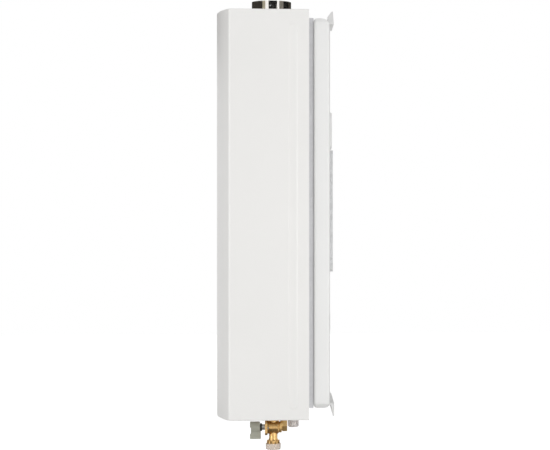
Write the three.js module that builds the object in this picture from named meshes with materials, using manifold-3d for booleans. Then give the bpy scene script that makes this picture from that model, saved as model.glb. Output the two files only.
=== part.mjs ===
// Tankless gas water heater that hangs on a wall, with a forced exhaust.
// Millimetres, +Z up, +Y towards the wall, +X to the right seen from the front.
// The origin is on the wall side of the top bracket, in the middle of the width.

import * as THREE from 'three';
import { mergeVertices } from 'three/addons/utils/BufferGeometryUtils.js';
import Module from 'manifold-3d';

const wasm = await Module();
wasm.setup();

// Clearances and cuts
const seatGap = 0.3;
const slideGap = 0.4;
const holeGap = 0.6;
const runningGap = 0.1;
const overrun = 5;

// Smoothness of round shapes
const smallSides = 10;
const roundSides = 16;
const largeSides = 32;
const cornerSteps = 3;
const bendSteps = 3;
const pipeSides = 8;

// Front cover
const coverWidth = 350;
const coverHeight = 590;
const coverSideDepth = 114.6;
const coverWall = 1.2;
const coverFoldRadius = 2.6;
const coverEdge = 1.6;
const bowRise = 19.4;
const bowAngle = THREE.MathUtils.degToRad(28);
const bowRadius = 150;
const beadWidth = 14.3;
const beadRise = 0.6;
const beadFromFold = 91.5;
const beadTopMargin = 19.5;
const beadBottomMargin = 15.5;
const beadEndShare = 0.98;

// Rear pan and the chassis that stands in front of it
const wallGap = 9.3;
const panDepth = 23.3;
const panWidth = 330;
const panWall = 1.2;
const panTopDrop = 10.7;
const panBottomRise = 15;
const panEdge = 3.4;
const panFrontRadius = 5;
const panSideCorner = 13;
const panTopRearRadius = 13;
const panBottomRearRadius = 7.5;
const panLip = 12;
const neckLength = 6.9;
const chassisWidth = 316;
const chassisWall = 1.2;
const chassisFlush = 0.3;
const chassisFrontSetback = 12;
const mouthGap = 0.8;

// Raised pads on the back of the pan
const padHalfWidth = 46;
const padCorner = 8;
const padEdge = 2;
const highPadDrop = 141.1;
const highPadHeight = 55.7;
const highPadRise = 6.5;
const lowPadDrop = 443;
const lowPadHeight = 29;
const lowPadRise = 4.1;

// Wall brackets
const coverTopAboveMount = 8;
const bracketWall = 1.5;
const bracketCorner = 1.5;
const topFlangeDrop = 8.8;
const topFlangeRise = 15.4;
const topShoulderDrop = 6.1;
const topRimDrop = 3;
const topTipHalfWidth = 8;
const topTipDepth = 2;
const bottomFlangeRise = 12.5;
const bottomFlangeDrop = 7.6;
const bottomRimDrop = 2.5;
const bottomRimDepth = 5;
const bottomTipDepth = 1.8;
const topFlangeHalf = 48;
const bottomFlangeHalf = 72;
const footHeight = 26;
const footHalf = 36;
const footRivetShare = 0.7;
const slotWidth = 7;
const slotLength = 13;
const slotEndShare = 0.476;
const topSlotRise = 10.5;
const topSideSlotDrop = 3.4;
const sideSlot = 25;

// Rivets and spacer strips
const rivetRadius = 2;
const rivetHeadRadius = 4;
const rivetHeadHeight = 1.6;
const rivetTail = 1.5;
const rivetFromMiddle = 27;
const stripWidth = 16;
const stripInnerEdge = 30;
const stripWall = 1.5;
const stripDrop = 198.6;
const stripLength = 183;
const stripWallGap = 1.3;
const stripTaper = 26;
const stripTaperDepth = 4.5;

// Cover screws and the chassis lugs that take them
const lugSpacing = 220;
const lugWidth = 30;
const lugDepth = 14;
const screwRadius = 2;
const screwHeadRadius = 4;
const screwHeadHeight = 1.8;
const screwTail = 5;

// Flue collar
const flueDiameter = 60;
const flueWall = 0.8;
const flueRise = 29.5;
const flueBehindFold = 60.3;
const flueLipHeight = 1.8;
const flueLipWidth = 1.8;
const flueFlangeRadius = 42;
const flueFlangeWall = 1.2;
const sealHeight = 2.4;
const sealWidth = 8;
const fluePort = 33;

// Exhaust blower
const blowerDrop = 86;
const blowerDepth = 50;
const blowerWall = 1;
const scrollLeast = 35;
const scrollMost = 44;
const scrollStart = THREE.MathUtils.degToRad(110);
const scrollSteps = 16;
const outletHalfWidth = 28;
const blowerInletRadius = 26;
const wheelRadius = 30;
const wheelDepth = 36;
const wheelPlate = 1.6;
const wheelRim = 6;
const bladeCount = 16;
const bladeWall = 1.2;
const shaftRadius = 3;
const shaftFlat = 12;
const motorRadius = 27;
const motorLength = 34;
const motorRib = 3;

// Flue hood
const hoodTopDrop = 46;
const hoodShoulderDrop = 158;
const hoodWall = 0.8;
const chimneyHalfWidth = 48;

// Combustion chamber and heat exchanger
const chamberHalfWidth = 110;
const chamberDepth = 88;
const chamberFromFold = 20;
const chamberTopDrop = 190;
const chamberHeight = 188;
const chamberWall = 0.8;
const footPlate = 1.5;
const footPlateHalfWidth = 60;
const footPlateMargin = 18;
const finHeight = 44;
const finPitch = 10.8;
const finWall = 3.6;
const spineHeight = 9;
const waterwayDrop = 218;
const waterPipeRadius = 5.5;
const coilRise = 17;
const coilBend = 8;
const coilGap = 1.2;
const coilTopDrop = 270;
const hotPipeStandOff = 18;

// Burner and gas train
const burnerHalfWidth = 104;
const burnerHeight = 50;
const burnerDepth = 80;
const burnerBase = 15;
const burnerSlot = 8;
const burnerPitch = 16;
const nozzleCount = 6;
const nozzlePitch = 32;
const nozzleRadius = 2;
const nozzleReach = 4;
const nozzleRise = 8;
const manifoldDepth = 12;
const manifoldHeight = 14;
const manifoldGap = 6;
const gasValveWidth = 50;
const gasValveHeight = 50;
const gasValveDepth = 36;
const gasValveLeft = 10;
const gasValveBelowManifold = 24;
const solenoidRadius = 12;
const solenoidLength = 32;
const gasPipeRadius = 6;
const gasPipeBend = 13;

// Fittings under the heater
const waterSpacing = 190;
const waterBehindFold = 63.1;
const gasBehindFold = 92.9;
const nippleBore = 4.8;
const nippleRadius = 10.4;
const nippleFlangeRadius = 16;
const nippleFlange = 3;
const nippleStub = 9;
const nippleStubRadius = 9.4;
const hotNippleReach = 18;
const gasNippleReach = 17;
const coldNippleReach = 5.4;
const drainFromCentre = 60;
const drainRadius = 8.4;
const drainReach = 23.6;
const drainHeadHeight = 17;
const drainStemRadius = 5;
const drainRibCount = 8;
const drainRibRadius = 1.2;
const glandFromCentre = -48;
const glandRadius = 9;
const glandBore = 3.5;
const glandReach = 9;

// Flow sensor
const sensorRadius = 13;
const sensorLength = 46;
const sensorWall = 2;
const turbineRadius = 9;
const turbineLength = 14;
const turbineHub = 3;
const turbineBlades = 4;

// Water inlet valve
const valveDrop = 19.3;
const knobFront = 34.3;
const knobBack = 19.6;
const knobHubRadius = 8.3;
const knobPaddleBack = 18.1;
const knobPaddleFront = 33.6;
const knobPaddleHalfWidth = 5.5;
const knobPaddleReach = 16.8;
const knobBore = 7;
const ringRadius = 5.9;
const ringFront = 19.3;
const ringLength = 2.8;
const stemRadius = 4.2;
const stemNeckRadius = 2.5;
const stemTip = 5.8;
const ballSlotHalf = 1;
const ballSlotDepth = 1;
const stemSink = 0.6;
const flangeFront = 12.2;
const flangeBack = 8.5;
const flangeHalfWidth = 15;
const flangeDrop = 10.7;
const flangeRise = 9.9;
const flangeCorner = 4;
const barrelRadius = 9.9;
const barrelBack = 10;
const barrelRound = 3;
const ballRadius = 6;
const ballChamberRadius = 6.6;
const waterwayRadius = 3.2;
const plugAcrossFlats = 15.8;
const plugRise = 2;
const plugCollar = 3.2;
const plugCollarRadius = 7.7;
const plugLength = 10.2;
const plugSpigotRadius = 4;
const plugSpigotLength = 5;
const outletNeckRadius = 6.2;
const outletNeckEnd = 16.3;
const outletConeEnd = 19.4;
const outletConeRadius = 7.8;
const splineCount = 10;
const splineRadius = 9.4;
const splineHalf = 1.5;
const splineEnd = 23.4;
const outletThreadRadius = 9.6;
const outletThreadEnd = 31;
const capRadius = 11.05;
const capWall = 1.1;
const capTop = 23.8;
const capEnd = 33.2;
const tailRadius = 6.6;
const tailFlangeRadius = 9.8;
const tailFlange = 1.8;
const tailTop = 13.6;
const nutAcrossFlats = 25;
const nutBottom = 10.2;
const nutHeight = 8;
const nutLip = 1.4;
const flangeScrewX = 12.4;
const flangeScrewRadius = 1.2;
const flangeScrewHead = 2.2;
const flangeScrewHeadHeight = 1.8;

// Controls
const controlWidth = 130;
const controlHeight = 105;
const controlDepth = 42;
const controlWall = 2;
const controlRise = 35;
const controlFrontGap = 18;
const boardThickness = 1.6;
const boardMargin = 6;
const boardSetback = 16;
const bossRadius = 4;
const chipHeight = 10;
const chipWidth = 22;
const displayRise = 150;
const displayWidth = 96;
const displayHeight = 34;
const displayCorner = 6;
const displayFlange = 4;
const displayFlangeWall = 2;
const displayBoardSetback = 6;
const displayPostRadius = 2.5;
const buttonRadius = 5;
const buttonPitch = 17;
const buttonFirst = 4;
const buttonProud = 1.2;
const buttonCollar = 1.4;
const buttonCollarWall = 1.2;

// Burner watch parts
const probeSpacing = 60;
const probeRise = 22;
const probeBodyRadius = 3.4;
const probeBodyLength = 16;
const probeFlangeRadius = 6;
const probeFlange = 2;
const probeWire = 1.2;
const probeWireLength = 24;
const thermostatRadius = 8;
const thermostatHeight = 8;
const thermostatDrop = 16;

const hexagonTurn = THREE.MathUtils.degToRad(30);

// Shares of a size that shape a head, a step or a row
const headRimShare = 0.8;
const rivetCrownShare = 0.7;
const thermostatStemShare = 0.7;
const thermostatStemFlatShare = 0.5;
const buttonFaceShare = 0.85;
const sensorStepShare = 0.25;
const shaftBackShare = 0.25;
const turbineBladeShare = 0.25;
const coldPipeRunShare = 0.25;
const hotPipeRunShare = 0.25;
const bossPlaceShare = 0.33;
const chipPlaceShares = [0.2, 0.5, 0.8];
const chipRiseShare = 0.6;

// Places that follow from the sizes
const coverTop = coverTopAboveMount;
const coverBottom = coverTop - coverHeight;
const panBack = -wallGap;
const panFront = panBack - panDepth;
const coverRear = panFront - neckLength;
const foldY = coverRear - coverSideDepth;
const frontY = foldY - bowRise;
const panTop = coverTop - panTopDrop;
const panBottom = coverBottom + panBottomRise;
const chassisTop = panTop - chassisFlush;
const chassisBottom = panBottom + chassisFlush;
const chassisBack = panFront - seatGap;
const chassisInnerBack = chassisBack - chassisWall;
const chassisFront = foldY + chassisFrontSetback;
const flueY = foldY + flueBehindFold;
const blowerZ = coverTop - blowerDrop;
const blowerBack = flueY + blowerDepth / 2;
const wheelX = outletHalfWidth - scrollMost;
const chamberFront = foldY + chamberFromFold;
const chamberBack = chamberFront + chamberDepth;
const chamberTop = coverTop - chamberTopDrop;
const chamberBottom = chamberTop - chamberHeight;
const waterY = foldY + waterBehindFold;
const gasY = foldY + gasBehindFold;
const waterX = waterSpacing / 2;
const waterwayZ = coverTop - waterwayDrop;
const coilX = chamberHalfWidth + coilGap + waterPipeRadius;
const burnerTop = chamberBottom - seatGap;
const burnerBottom = burnerTop - burnerHeight;
const burnerFront = (chamberFront + chamberBack - burnerDepth) / 2;
const nozzleZ = burnerBottom + nozzleRise;
const manifoldBack = burnerFront - manifoldGap;
const manifoldFront = manifoldBack - manifoldDepth;
const manifoldBottom = nozzleZ - manifoldHeight / 2;
const gasTrainY = (manifoldBack + manifoldFront) / 2;
const gasValveTop = manifoldBottom - gasValveBelowManifold;
const nippleTop = chassisBottom + chassisWall + seatGap + nippleFlange + nippleStub;
const sensorBottom = nippleTop + seatGap;
const sensorTop = sensorBottom + sensorLength;
const valveZ = coverBottom - valveDrop;

// Solids from shapes

// A raw shape gets its shared corners merged, and one that was joined or cut before has them already.
function mergedShape(geometry) {
  if (geometry.userData.isMerged) return geometry;
  const bare = geometry.clone();
  bare.deleteAttribute('normal');
  bare.deleteAttribute('uv');
  return mergeVertices(bare);
}

function solidOf(geometry) {
  const merged = mergedShape(geometry);
  const corners = merged.index.array;
  const faces = [];
  for (let at = 0; at < corners.length; at += 3) {
    const [a, b, c] = corners.slice(at, at + 3);
    if (a !== b && b !== c && c !== a) faces.push(a, b, c);
  }
  const vertProperties = new Float32Array(merged.attributes.position.array);
  return new wasm.Manifold(
    new wasm.Mesh({ numProp: 3, vertProperties, triVerts: new Uint32Array(faces) }),
  );
}

function geometryOf(solid) {
  const mesh = solid.getMesh();
  const geometry = new THREE.BufferGeometry();
  geometry.setAttribute('position', new THREE.BufferAttribute(mesh.vertProperties, 3));
  geometry.setIndex(new THREE.BufferAttribute(mesh.triVerts, 1));
  geometry.computeVertexNormals();
  geometry.userData.isMerged = true;
  return geometry;
}

function join(...geometries) {
  return geometryOf(geometries.map(solidOf).reduce((whole, next) => whole.add(next)));
}

function cut(base, ...tools) {
  return geometryOf(tools.map(solidOf).reduce((rest, tool) => rest.subtract(tool), solidOf(base)));
}

function common(first, second) {
  return geometryOf(solidOf(first).intersect(solidOf(second)));
}

// The points of a corner that is rounded with an arc, from the side before it to the side after it.
function cornerArc(before, here, after, radius, steps) {
  const arriving = before.clone().sub(here).normalize();
  const leaving = after.clone().sub(here).normalize();
  const halfTurn = (Math.PI - arriving.angleTo(leaving)) / 2;
  const inward = arriving.clone().add(leaving).normalize();
  const along = leaving.clone().sub(arriving).normalize();
  const centre = here.clone().addScaledVector(inward, radius / Math.cos(halfTurn));
  const points = [];
  for (let step = 0; step <= steps; step += 1) {
    const angle = halfTurn * (2 * step / steps - 1);
    const point = centre.clone().addScaledVector(inward, -radius * Math.cos(angle));
    points.push(point.addScaledVector(along, radius * Math.sin(angle)));
  }
  return points;
}

// An outline from corners [across, up, radius] that run anticlockwise.
function outline(corners, steps = cornerSteps) {
  const at = (index) => {
    const [across, up] = corners[(index + corners.length) % corners.length];
    return new THREE.Vector3(across, up, 0);
  };
  const points = corners.flatMap(([, , radius = 0], index) => (
    radius > 0 ? cornerArc(at(index - 1), at(index), at(index + 1), radius, steps) : [at(index)]
  ));
  return new THREE.Shape(points.map((point) => new THREE.Vector2(point.x, point.y)));
}

// The same corners moved inwards by a distance, with their radii drawn in too.
function shrink(corners, distance) {
  return corners.map(([across, up, radius = 0], index) => {
    const here = new THREE.Vector2(across, up);
    const before = new THREE.Vector2(...corners.at(index - 1));
    const after = new THREE.Vector2(...corners[(index + 1) % corners.length]);
    const arriving = here.clone().sub(before).normalize();
    const leaving = after.sub(here).normalize();
    const inward = new THREE.Vector2(-arriving.y - leaving.y, arriving.x + leaving.x);
    const moved = here.addScaledVector(inward, distance / (1 + arriving.dot(leaving)));
    return [moved.x, moved.y, Math.max(radius - distance, 0)];
  });
}

function rectangle(left, right, bottom, top, radius = 0) {
  return [[left, bottom, radius], [right, bottom, radius], [right, top, radius], [left, top, radius]];
}

function extruded(shape, length, edge) {
  return new THREE.ExtrudeGeometry(shape, {
    depth: length - 2 * edge,
    steps: 1,
    bevelEnabled: edge > 0,
    bevelThickness: edge,
    bevelSize: edge,
    bevelOffset: -edge,
    bevelSegments: 2,
  }).translate(0, 0, edge);
}

// Outlines drawn in X and Y, in X and Z and in Y and Z, each drawn out along the third axis.
function extrudeUp(shape, bottom, top, edge = 0) {
  return extruded(shape, top - bottom, edge).translate(0, 0, bottom);
}

function extrudeBack(shape, front, back, edge = 0) {
  return extruded(shape, back - front, edge).rotateX(Math.PI / 2).translate(0, back, 0);
}

function extrudeAcross(shape, left, right, edge = 0) {
  return extruded(shape, right - left, edge)
    .rotateX(Math.PI / 2).rotateZ(Math.PI / 2).translate(left, 0, 0);
}

function block(left, right, front, back, bottom, top) {
  const size = [right - left, back - front, top - bottom];
  return new THREE.BoxGeometry(...size)
    .translate((left + right) / 2, (front + back) / 2, (bottom + top) / 2);
}

function polygon(radius, sides, turn = 0) {
  const corners = [];
  for (let side = 0; side < sides; side += 1) {
    const angle = turn + 2 * Math.PI * side / sides;
    corners.push([radius * Math.cos(angle), radius * Math.sin(angle)]);
  }
  return outline(corners);
}

function hexagon(acrossFlats, turn = 0) {
  return polygon(acrossFlats / Math.sqrt(3), 6, turn);
}

// A turned piece about the Z axis from a closed outline of [radius, height] points.
function turned(profile, sides = roundSides) {
  const points = profile.map(([radius, height]) => new THREE.Vector2(radius, height));
  if (THREE.ShapeUtils.area(points) < 0) points.reverse();
  points.push(points[0].clone());
  return new THREE.LatheGeometry(points, sides).rotateX(Math.PI / 2);
}

function rodUp(radius, bottom, top, sides = roundSides) {
  return turned([[0, bottom], [radius, bottom], [radius, top], [0, top]], sides);
}

function rodBack(radius, front, back, sides = roundSides) {
  return rodUp(radius, -back, -front, sides).rotateX(Math.PI / 2);
}

function rodAcross(radius, left, right, sides = roundSides) {
  return rodUp(radius, left, right, sides).rotateY(Math.PI / 2);
}

// A route with straight runs and round bends, with a ring of the pipe at each of its points.
class PipeRoute extends THREE.Curve {
  constructor(corners, bend) {
    super();
    this.points = corners.flatMap((corner, index) => {
      const isEnd = index === 0 || index === corners.length - 1;
      return isEnd ? [corner] : cornerArc(
        corners[index - 1], corner, corners[index + 1], bend, bendSteps,
      );
    });
  }

  indexAt(share) {
    return Math.round(share * (this.points.length - 1));
  }

  getPointAt(share) {
    return this.points[this.indexAt(share)].clone();
  }

  getTangentAt(share) {
    const index = this.indexAt(share);
    const here = this.points[index];
    const before = this.points[Math.max(index - 1, 0)];
    const after = this.points[Math.min(index + 1, this.points.length - 1)];
    const arriving = here.clone().sub(before).normalize();
    const leaving = after.clone().sub(here).normalize();
    return arriving.add(leaving).normalize();
  }
}

function pipe(places, bend, radius) {
  const route = new PipeRoute(places.map((place) => new THREE.Vector3(...place)), bend);
  return new THREE.ExtrudeGeometry(polygon(radius, pipeSides), {
    steps: route.points.length - 1,
    extrudePath: route,
  });
}

// Finishes
function finish(color, roughness, metalness) {
  return new THREE.MeshStandardMaterial({ color, roughness, metalness });
}

const whitePaint = () => finish('#ebeae8', 0.35, 0);
const galvanised = () => finish('#b9babd', 0.45, 0.8);
const stainless = () => finish('#c9c6bd', 0.12, 1);
const brightSteel = () => finish('#b8bbbd', 0.3, 1);
const brass = () => finish('#b08a45', 0.35, 1);
const copper = () => finish('#b4704a', 0.4, 1);
const tinnedCopper = () => finish('#a9a29a', 0.45, 1);
const castAluminium = () => finish('#9d9fa1', 0.5, 0.9);
const greyPlastic = () => finish('#96968a', 0.55, 0);
const darkPlastic = () => finish('#3a3a36', 0.6, 0);
const blackPlastic = () => finish('#191a1c', 0.3, 0);
const clearPlastic = () => finish('#d9d2cf', 0.3, 0);
const rubber = () => finish('#2b2b2b', 0.8, 0);
const ceramic = () => finish('#e8e4da', 0.5, 0);
const circuitBoard = () => finish('#2f6b3f', 0.55, 0);

function piece(name, geometry, material, position = [0, 0, 0]) {
  const mesh = new THREE.Mesh(geometryOf(solidOf(geometry)), material);
  mesh.name = name;
  mesh.position.set(...position);
  return mesh;
}

// Front cover

function coverPlan(rear) {
  const side = coverWidth / 2;
  const bowCorner = side - bowRise / Math.tan(bowAngle);
  return [
    [side, rear], [-side, rear], [-side, foldY, coverFoldRadius],
    [-bowCorner, frontY, bowRadius], [bowCorner, frontY, bowRadius], [side, foldY, coverFoldRadius],
  ];
}

function coverBead(side) {
  const middle = foldY + beadFromFold;
  const reach = beadWidth / 2;
  const stadium = rectangle(
    middle - reach, middle + reach, coverBottom + beadBottomMargin, coverTop - beadTopMargin,
    reach * beadEndShare,
  );
  const face = coverWidth / 2;
  const [left, right] = side > 0
    ? [face - coverWall, face + beadRise]
    : [-face - beadRise, coverWall - face];
  return extrudeAcross(outline(stadium, 2 * cornerSteps), left, right, beadRise);
}

function lugPlaces() {
  return [-1, 1].flatMap((side) => [-1, 1].map((level) => ({ side, level, x: side * lugSpacing / 2 })));
}

const lugBack = coverRear - coverWall - seatGap;
const lugFront = lugBack - lugDepth;
const screwY = (lugFront + lugBack) / 2;

function lugNotch({ level, x }) {
  const reach = lugWidth / 2 + mouthGap;
  const [bottom, top] = level > 0
    ? [panTop - overrun, coverTop - coverWall]
    : [coverBottom + coverWall, panBottom + overrun];
  return block(x - reach, x + reach, coverRear - 2 * coverWall, coverRear + overrun, bottom, top);
}

function screwHole({ level, x }) {
  const [bottom, top] = level > 0
    ? [coverTop - coverWall - overrun, coverTop + overrun]
    : [coverBottom - overrun, coverBottom + coverWall + overrun];
  return rodUp(screwRadius + seatGap, bottom, top, smallSides).translate(x, screwY, 0);
}

function bottomHole(radius, x, y, top) {
  return rodUp(radius + holeGap, coverBottom - overrun, top + overrun).translate(x, y, 0);
}

function fittingHoles(top) {
  return [
    bottomHole(nippleRadius, waterX, waterY, top),
    bottomHole(nippleRadius, -waterX, waterY, top),
    bottomHole(nippleRadius, 0, gasY, top),
    bottomHole(drainStemRadius, drainFromCentre, gasY, top),
    bottomHole(glandRadius, glandFromCentre, gasY, top),
  ];
}

function displayCorners(grow) {
  const middle = coverBottom + displayRise;
  return rectangle(
    -displayWidth / 2 - grow, displayWidth / 2 + grow,
    middle - displayHeight / 2 - grow, middle + displayHeight / 2 + grow, displayCorner + grow,
  );
}

function frontCover() {
  const outer = cut(
    extrudeUp(outline(coverPlan(coverRear + overrun)), coverBottom, coverTop, coverEdge),
    block(
      -coverWidth, coverWidth, coverRear, coverRear + 2 * overrun,
      coverBottom - overrun, coverTop + overrun,
    ),
  );
  const hollow = extrudeUp(
    outline(shrink(coverPlan(coverRear), coverWall)), coverBottom + coverWall, coverTop - coverWall,
  );
  const mouthHalf = chassisWidth / 2 + mouthGap;
  const mouth = block(
    -mouthHalf, mouthHalf, coverRear - 2 * coverWall, coverRear + overrun,
    chassisBottom - mouthGap, chassisTop + mouthGap,
  );
  const flueHole = rodUp(fluePort, coverTop - overrun, coverTop + overrun, largeSides)
    .translate(0, flueY, 0);
  const displayHole = extrudeBack(outline(displayCorners(0)), frontY - overrun, frontY + overrun);
  const shell = cut(
    join(outer, coverBead(-1), coverBead(1)), hollow, mouth, flueHole, displayHole,
    ...lugPlaces().map(lugNotch), ...lugPlaces().map(screwHole), ...fittingHoles(coverBottom + coverWall),
  );
  return piece('front_cover', shell, whitePaint());
}

// Rear pan

function panBody(inset) {
  const face = shrink(
    rectangle(-panWidth / 2, panWidth / 2, panBottom, panTop, panSideCorner), inset,
  );
  const side = shrink([
    [panFront, panBottom, panFrontRadius], [panBack, panBottom, panBottomRearRadius],
    [panBack, panTop, panTopRearRadius], [panFront, panTop, panFrontRadius],
  ], inset);
  const pillow = extrudeBack(outline(face), panFront + inset, panBack - inset, panEdge - inset);
  return common(pillow, extrudeAcross(outline(side), -panWidth, panWidth));
}

function panPad(drop, height, rise, inset) {
  const top = coverTop - drop;
  const face = shrink(rectangle(-padHalfWidth, padHalfWidth, top - height, top, padCorner), inset);
  return extrudeBack(outline(face), panBack - panWall - inset, panBack + rise - inset, padEdge);
}

function rivetPlaces() {
  const footRise = footHeight * footRivetShare;
  const top = coverTop - topFlangeDrop - footRise;
  const bottom = coverBottom + bottomFlangeRise + footRise;
  return [
    { name: 'top_left', x: -rivetFromMiddle, z: top }, { name: 'top_right', x: rivetFromMiddle, z: top },
    { name: 'bottom_left', x: -rivetFromMiddle, z: bottom },
    { name: 'bottom_right', x: rivetFromMiddle, z: bottom },
  ];
}

function rivetHole({ x, z }) {
  return rodBack(rivetRadius + runningGap, panBack - 2 * panWall, overrun, smallSides).translate(x, 0, z);
}

function rearPan() {
  const pads = [[highPadDrop, highPadHeight, highPadRise], [lowPadDrop, lowPadHeight, lowPadRise]];
  const mouth = block(
    panLip - panWidth / 2, panWidth / 2 - panLip, panFront - overrun, panFront + panWall + overrun,
    panBottom + panLip, panTop - panLip,
  );
  const shell = cut(
    join(panBody(0), ...pads.map((pad) => panPad(...pad, 0))),
    panBody(panWall), ...pads.map((pad) => panPad(...pad, panWall)), mouth,
    ...rivetPlaces().map(rivetHole),
  );
  return piece('rear_pan', shell, whitePaint());
}

// Chassis box

function chassisLug({ level, x }) {
  const reach = lugWidth / 2;
  const lip = level > 0 ? coverTop - coverWall - seatGap : coverBottom + coverWall + seatGap;
  const root = level > 0 ? chassisTop - chassisWall : chassisBottom + chassisWall;
  const lipPlate = block(
    x - reach, x + reach, lugFront, lugBack, Math.min(lip, lip - level * chassisWall),
    Math.max(lip, lip - level * chassisWall),
  );
  const web = block(
    x - reach, x + reach, lugFront, lugFront + chassisWall, Math.min(lip, root), Math.max(lip, root),
  );
  return join(lipPlate, web);
}

function chassisBox() {
  const half = chassisWidth / 2;
  const tray = cut(
    block(-half, half, chassisFront, chassisBack, chassisBottom, chassisTop),
    block(
      chassisWall - half, half - chassisWall, chassisFront - overrun, chassisInnerBack,
      chassisBottom + chassisWall, chassisTop - chassisWall,
    ),
  );
  const fluePassage = rodUp(
    flueDiameter / 2 - flueWall, chassisTop - overrun, chassisTop + overrun, largeSides,
  );
  const shell = cut(
    join(tray, ...lugPlaces().map(chassisLug)),
    fluePassage.translate(0, flueY, 0),
    ...lugPlaces().map(screwHole), ...fittingHoles(chassisBottom + chassisWall),
  );
  return piece('chassis_box', shell, galvanised());
}

// Wall brackets, rivets and spacer strips

function slot(x, z, width, height) {
  const face = rectangle(
    x - width / 2, x + width / 2, z - height / 2, z + height / 2, slotWidth * slotEndShare,
  );
  return extrudeBack(outline(face), -bracketWall - overrun, overrun);
}

// A pressed plate on the wall with a rim that reaches back to the pan, lower towards its tip.
function bracketTray(corners, depthProfile) {
  const rimDepth = wallGap - seatGap;
  const body = common(
    extrudeBack(outline(corners), -rimDepth, 0),
    extrudeAcross(outline(depthProfile), -coverWidth, coverWidth),
  );
  const pocket = extrudeBack(outline(shrink(corners, bracketWall)), -wallGap - overrun, -bracketWall);
  return cut(body, pocket);
}

function bracketFoot(edge, direction) {
  const far = edge + direction * footHeight;
  const near = edge - direction * bracketWall;
  const back = seatGap - wallGap + bracketWall;
  return block(-footHalf, footHalf, seatGap - wallGap, back, Math.min(near, far), Math.max(near, far));
}

function topBracket() {
  const low = coverTop - topFlangeDrop;
  const high = coverTop + topFlangeRise;
  const shoulder = coverTop - topShoulderDrop;
  const deep = seatGap - wallGap;
  const corners = [
    [-topFlangeHalf, low, bracketCorner], [topFlangeHalf, low, bracketCorner],
    [topFlangeHalf, shoulder],
    [topTipHalfWidth, high, bracketCorner], [-topTipHalfWidth, high, bracketCorner],
    [-topFlangeHalf, shoulder],
  ];
  const depthProfile = [
    [deep - overrun, low - overrun], [overrun, low - overrun], [overrun, high + overrun],
    [-topTipDepth, high + overrun], [-topTipDepth, high], [deep - overrun, coverTop - topRimDrop],
  ];
  const plate = join(bracketTray(corners, depthProfile), bracketFoot(low, -1));
  const sideSlotZ = coverTop - topSideSlotDrop;
  const shape = cut(
    plate,
    slot(0, topSlotRise, slotWidth, slotLength),
    slot(-sideSlot, sideSlotZ, slotLength, slotWidth), slot(sideSlot, sideSlotZ, slotLength, slotWidth),
    ...rivetPlaces().map(rivetHole),
  );
  return piece('top_bracket', shape, whitePaint());
}

function bottomBracket() {
  const high = coverBottom + bottomFlangeRise;
  const low = coverBottom - bottomFlangeDrop;
  const deep = seatGap - wallGap;
  const corners = rectangle(-bottomFlangeHalf, bottomFlangeHalf, low, high, bracketCorner);
  const depthProfile = [
    [overrun, low - overrun], [overrun, high + overrun], [deep - overrun, high + overrun],
    [deep - overrun, high - bracketWall], [-bottomRimDepth, high - bottomRimDrop],
    [-bottomTipDepth, low], [-bottomTipDepth, low - overrun],
  ];
  const plate = join(bracketTray(corners, depthProfile), bracketFoot(high, 1));
  const slotZ = (low + high) / 2;
  const shape = cut(
    plate,
    slot(-sideSlot, slotZ, slotLength, slotWidth), slot(sideSlot, slotZ, slotLength, slotWidth),
    ...rivetPlaces().map(rivetHole),
  );
  return piece('bottom_bracket', shape, whitePaint());
}

function bracketRivet({ name, x, z }) {
  const headBottom = seatGap - wallGap + bracketWall + runningGap;
  const tip = panBack - panWall - rivetTail;
  const shape = turned([
    [0, tip], [rivetRadius, tip], [rivetRadius, headBottom], [rivetHeadRadius, headBottom],
    [rivetHeadRadius * headRimShare, headBottom + rivetHeadHeight * rivetCrownShare],
    [0, headBottom + rivetHeadHeight],
  ], smallSides).rotateX(-Math.PI / 2);
  return piece(`bracket_rivet_${name}`, shape, brightSteel(), [x, 0, z]);
}

function spacerStrip(name, side) {
  const left = side > 0 ? stripInnerEdge : -stripInnerEdge - stripWidth;
  const right = left + stripWidth;
  const deep = seatGap - wallGap;
  const top = coverTop - stripDrop;
  const bottom = top - stripLength;
  const body = common(
    block(left, right, deep, -stripWallGap, bottom, top),
    extrudeAcross(outline([
      [overrun, bottom - overrun], [overrun, top + overrun], [deep - overrun, top + overrun],
      [deep - overrun, bottom + stripTaper], [deep, bottom + stripTaper],
      [-stripTaperDepth, bottom - overrun],
    ]), left - overrun, right + overrun),
  );
  const groove = block(
    left + stripWall, right - stripWall, deep - overrun, -stripWallGap - stripWall,
    bottom + stripTaper, top - stripWall,
  );
  return piece(name, cut(body, groove), galvanised());
}

// Cover screws

function coverScrew({ side, level, x }) {
  const face = seatGap / 2;
  const shape = turned([
    [0, -coverWall - screwTail], [screwRadius, -coverWall - screwTail], [screwRadius, face],
    [screwHeadRadius, face], [screwHeadRadius * headRimShare, face + screwHeadHeight],
    [0, face + screwHeadHeight],
  ], smallSides);
  if (level < 0) shape.rotateX(Math.PI);
  const name = `cover_screw_${level > 0 ? 'top' : 'bottom'}_${side > 0 ? 'right' : 'left'}`;
  return piece(name, shape, brightSteel(), [x, screwY, level > 0 ? coverTop : coverBottom]);
}

// Flue collar and its seal

function flueCollar() {
  const outer = flueDiameter / 2;
  const inner = outer - flueWall;
  const bottom = chassisTop + seatGap;
  const top = coverTop + flueRise;
  const shape = turned([
    [inner, bottom], [flueFlangeRadius, bottom], [flueFlangeRadius, bottom + flueFlangeWall],
    [outer, bottom + flueFlangeWall], [outer, top],
    [outer - flueLipWidth, top], [outer - flueLipWidth, top - flueLipHeight],
    [inner, top - flueLipHeight],
  ], largeSides);
  return piece('flue_collar', shape, stainless(), [0, flueY, 0]);
}

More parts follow.
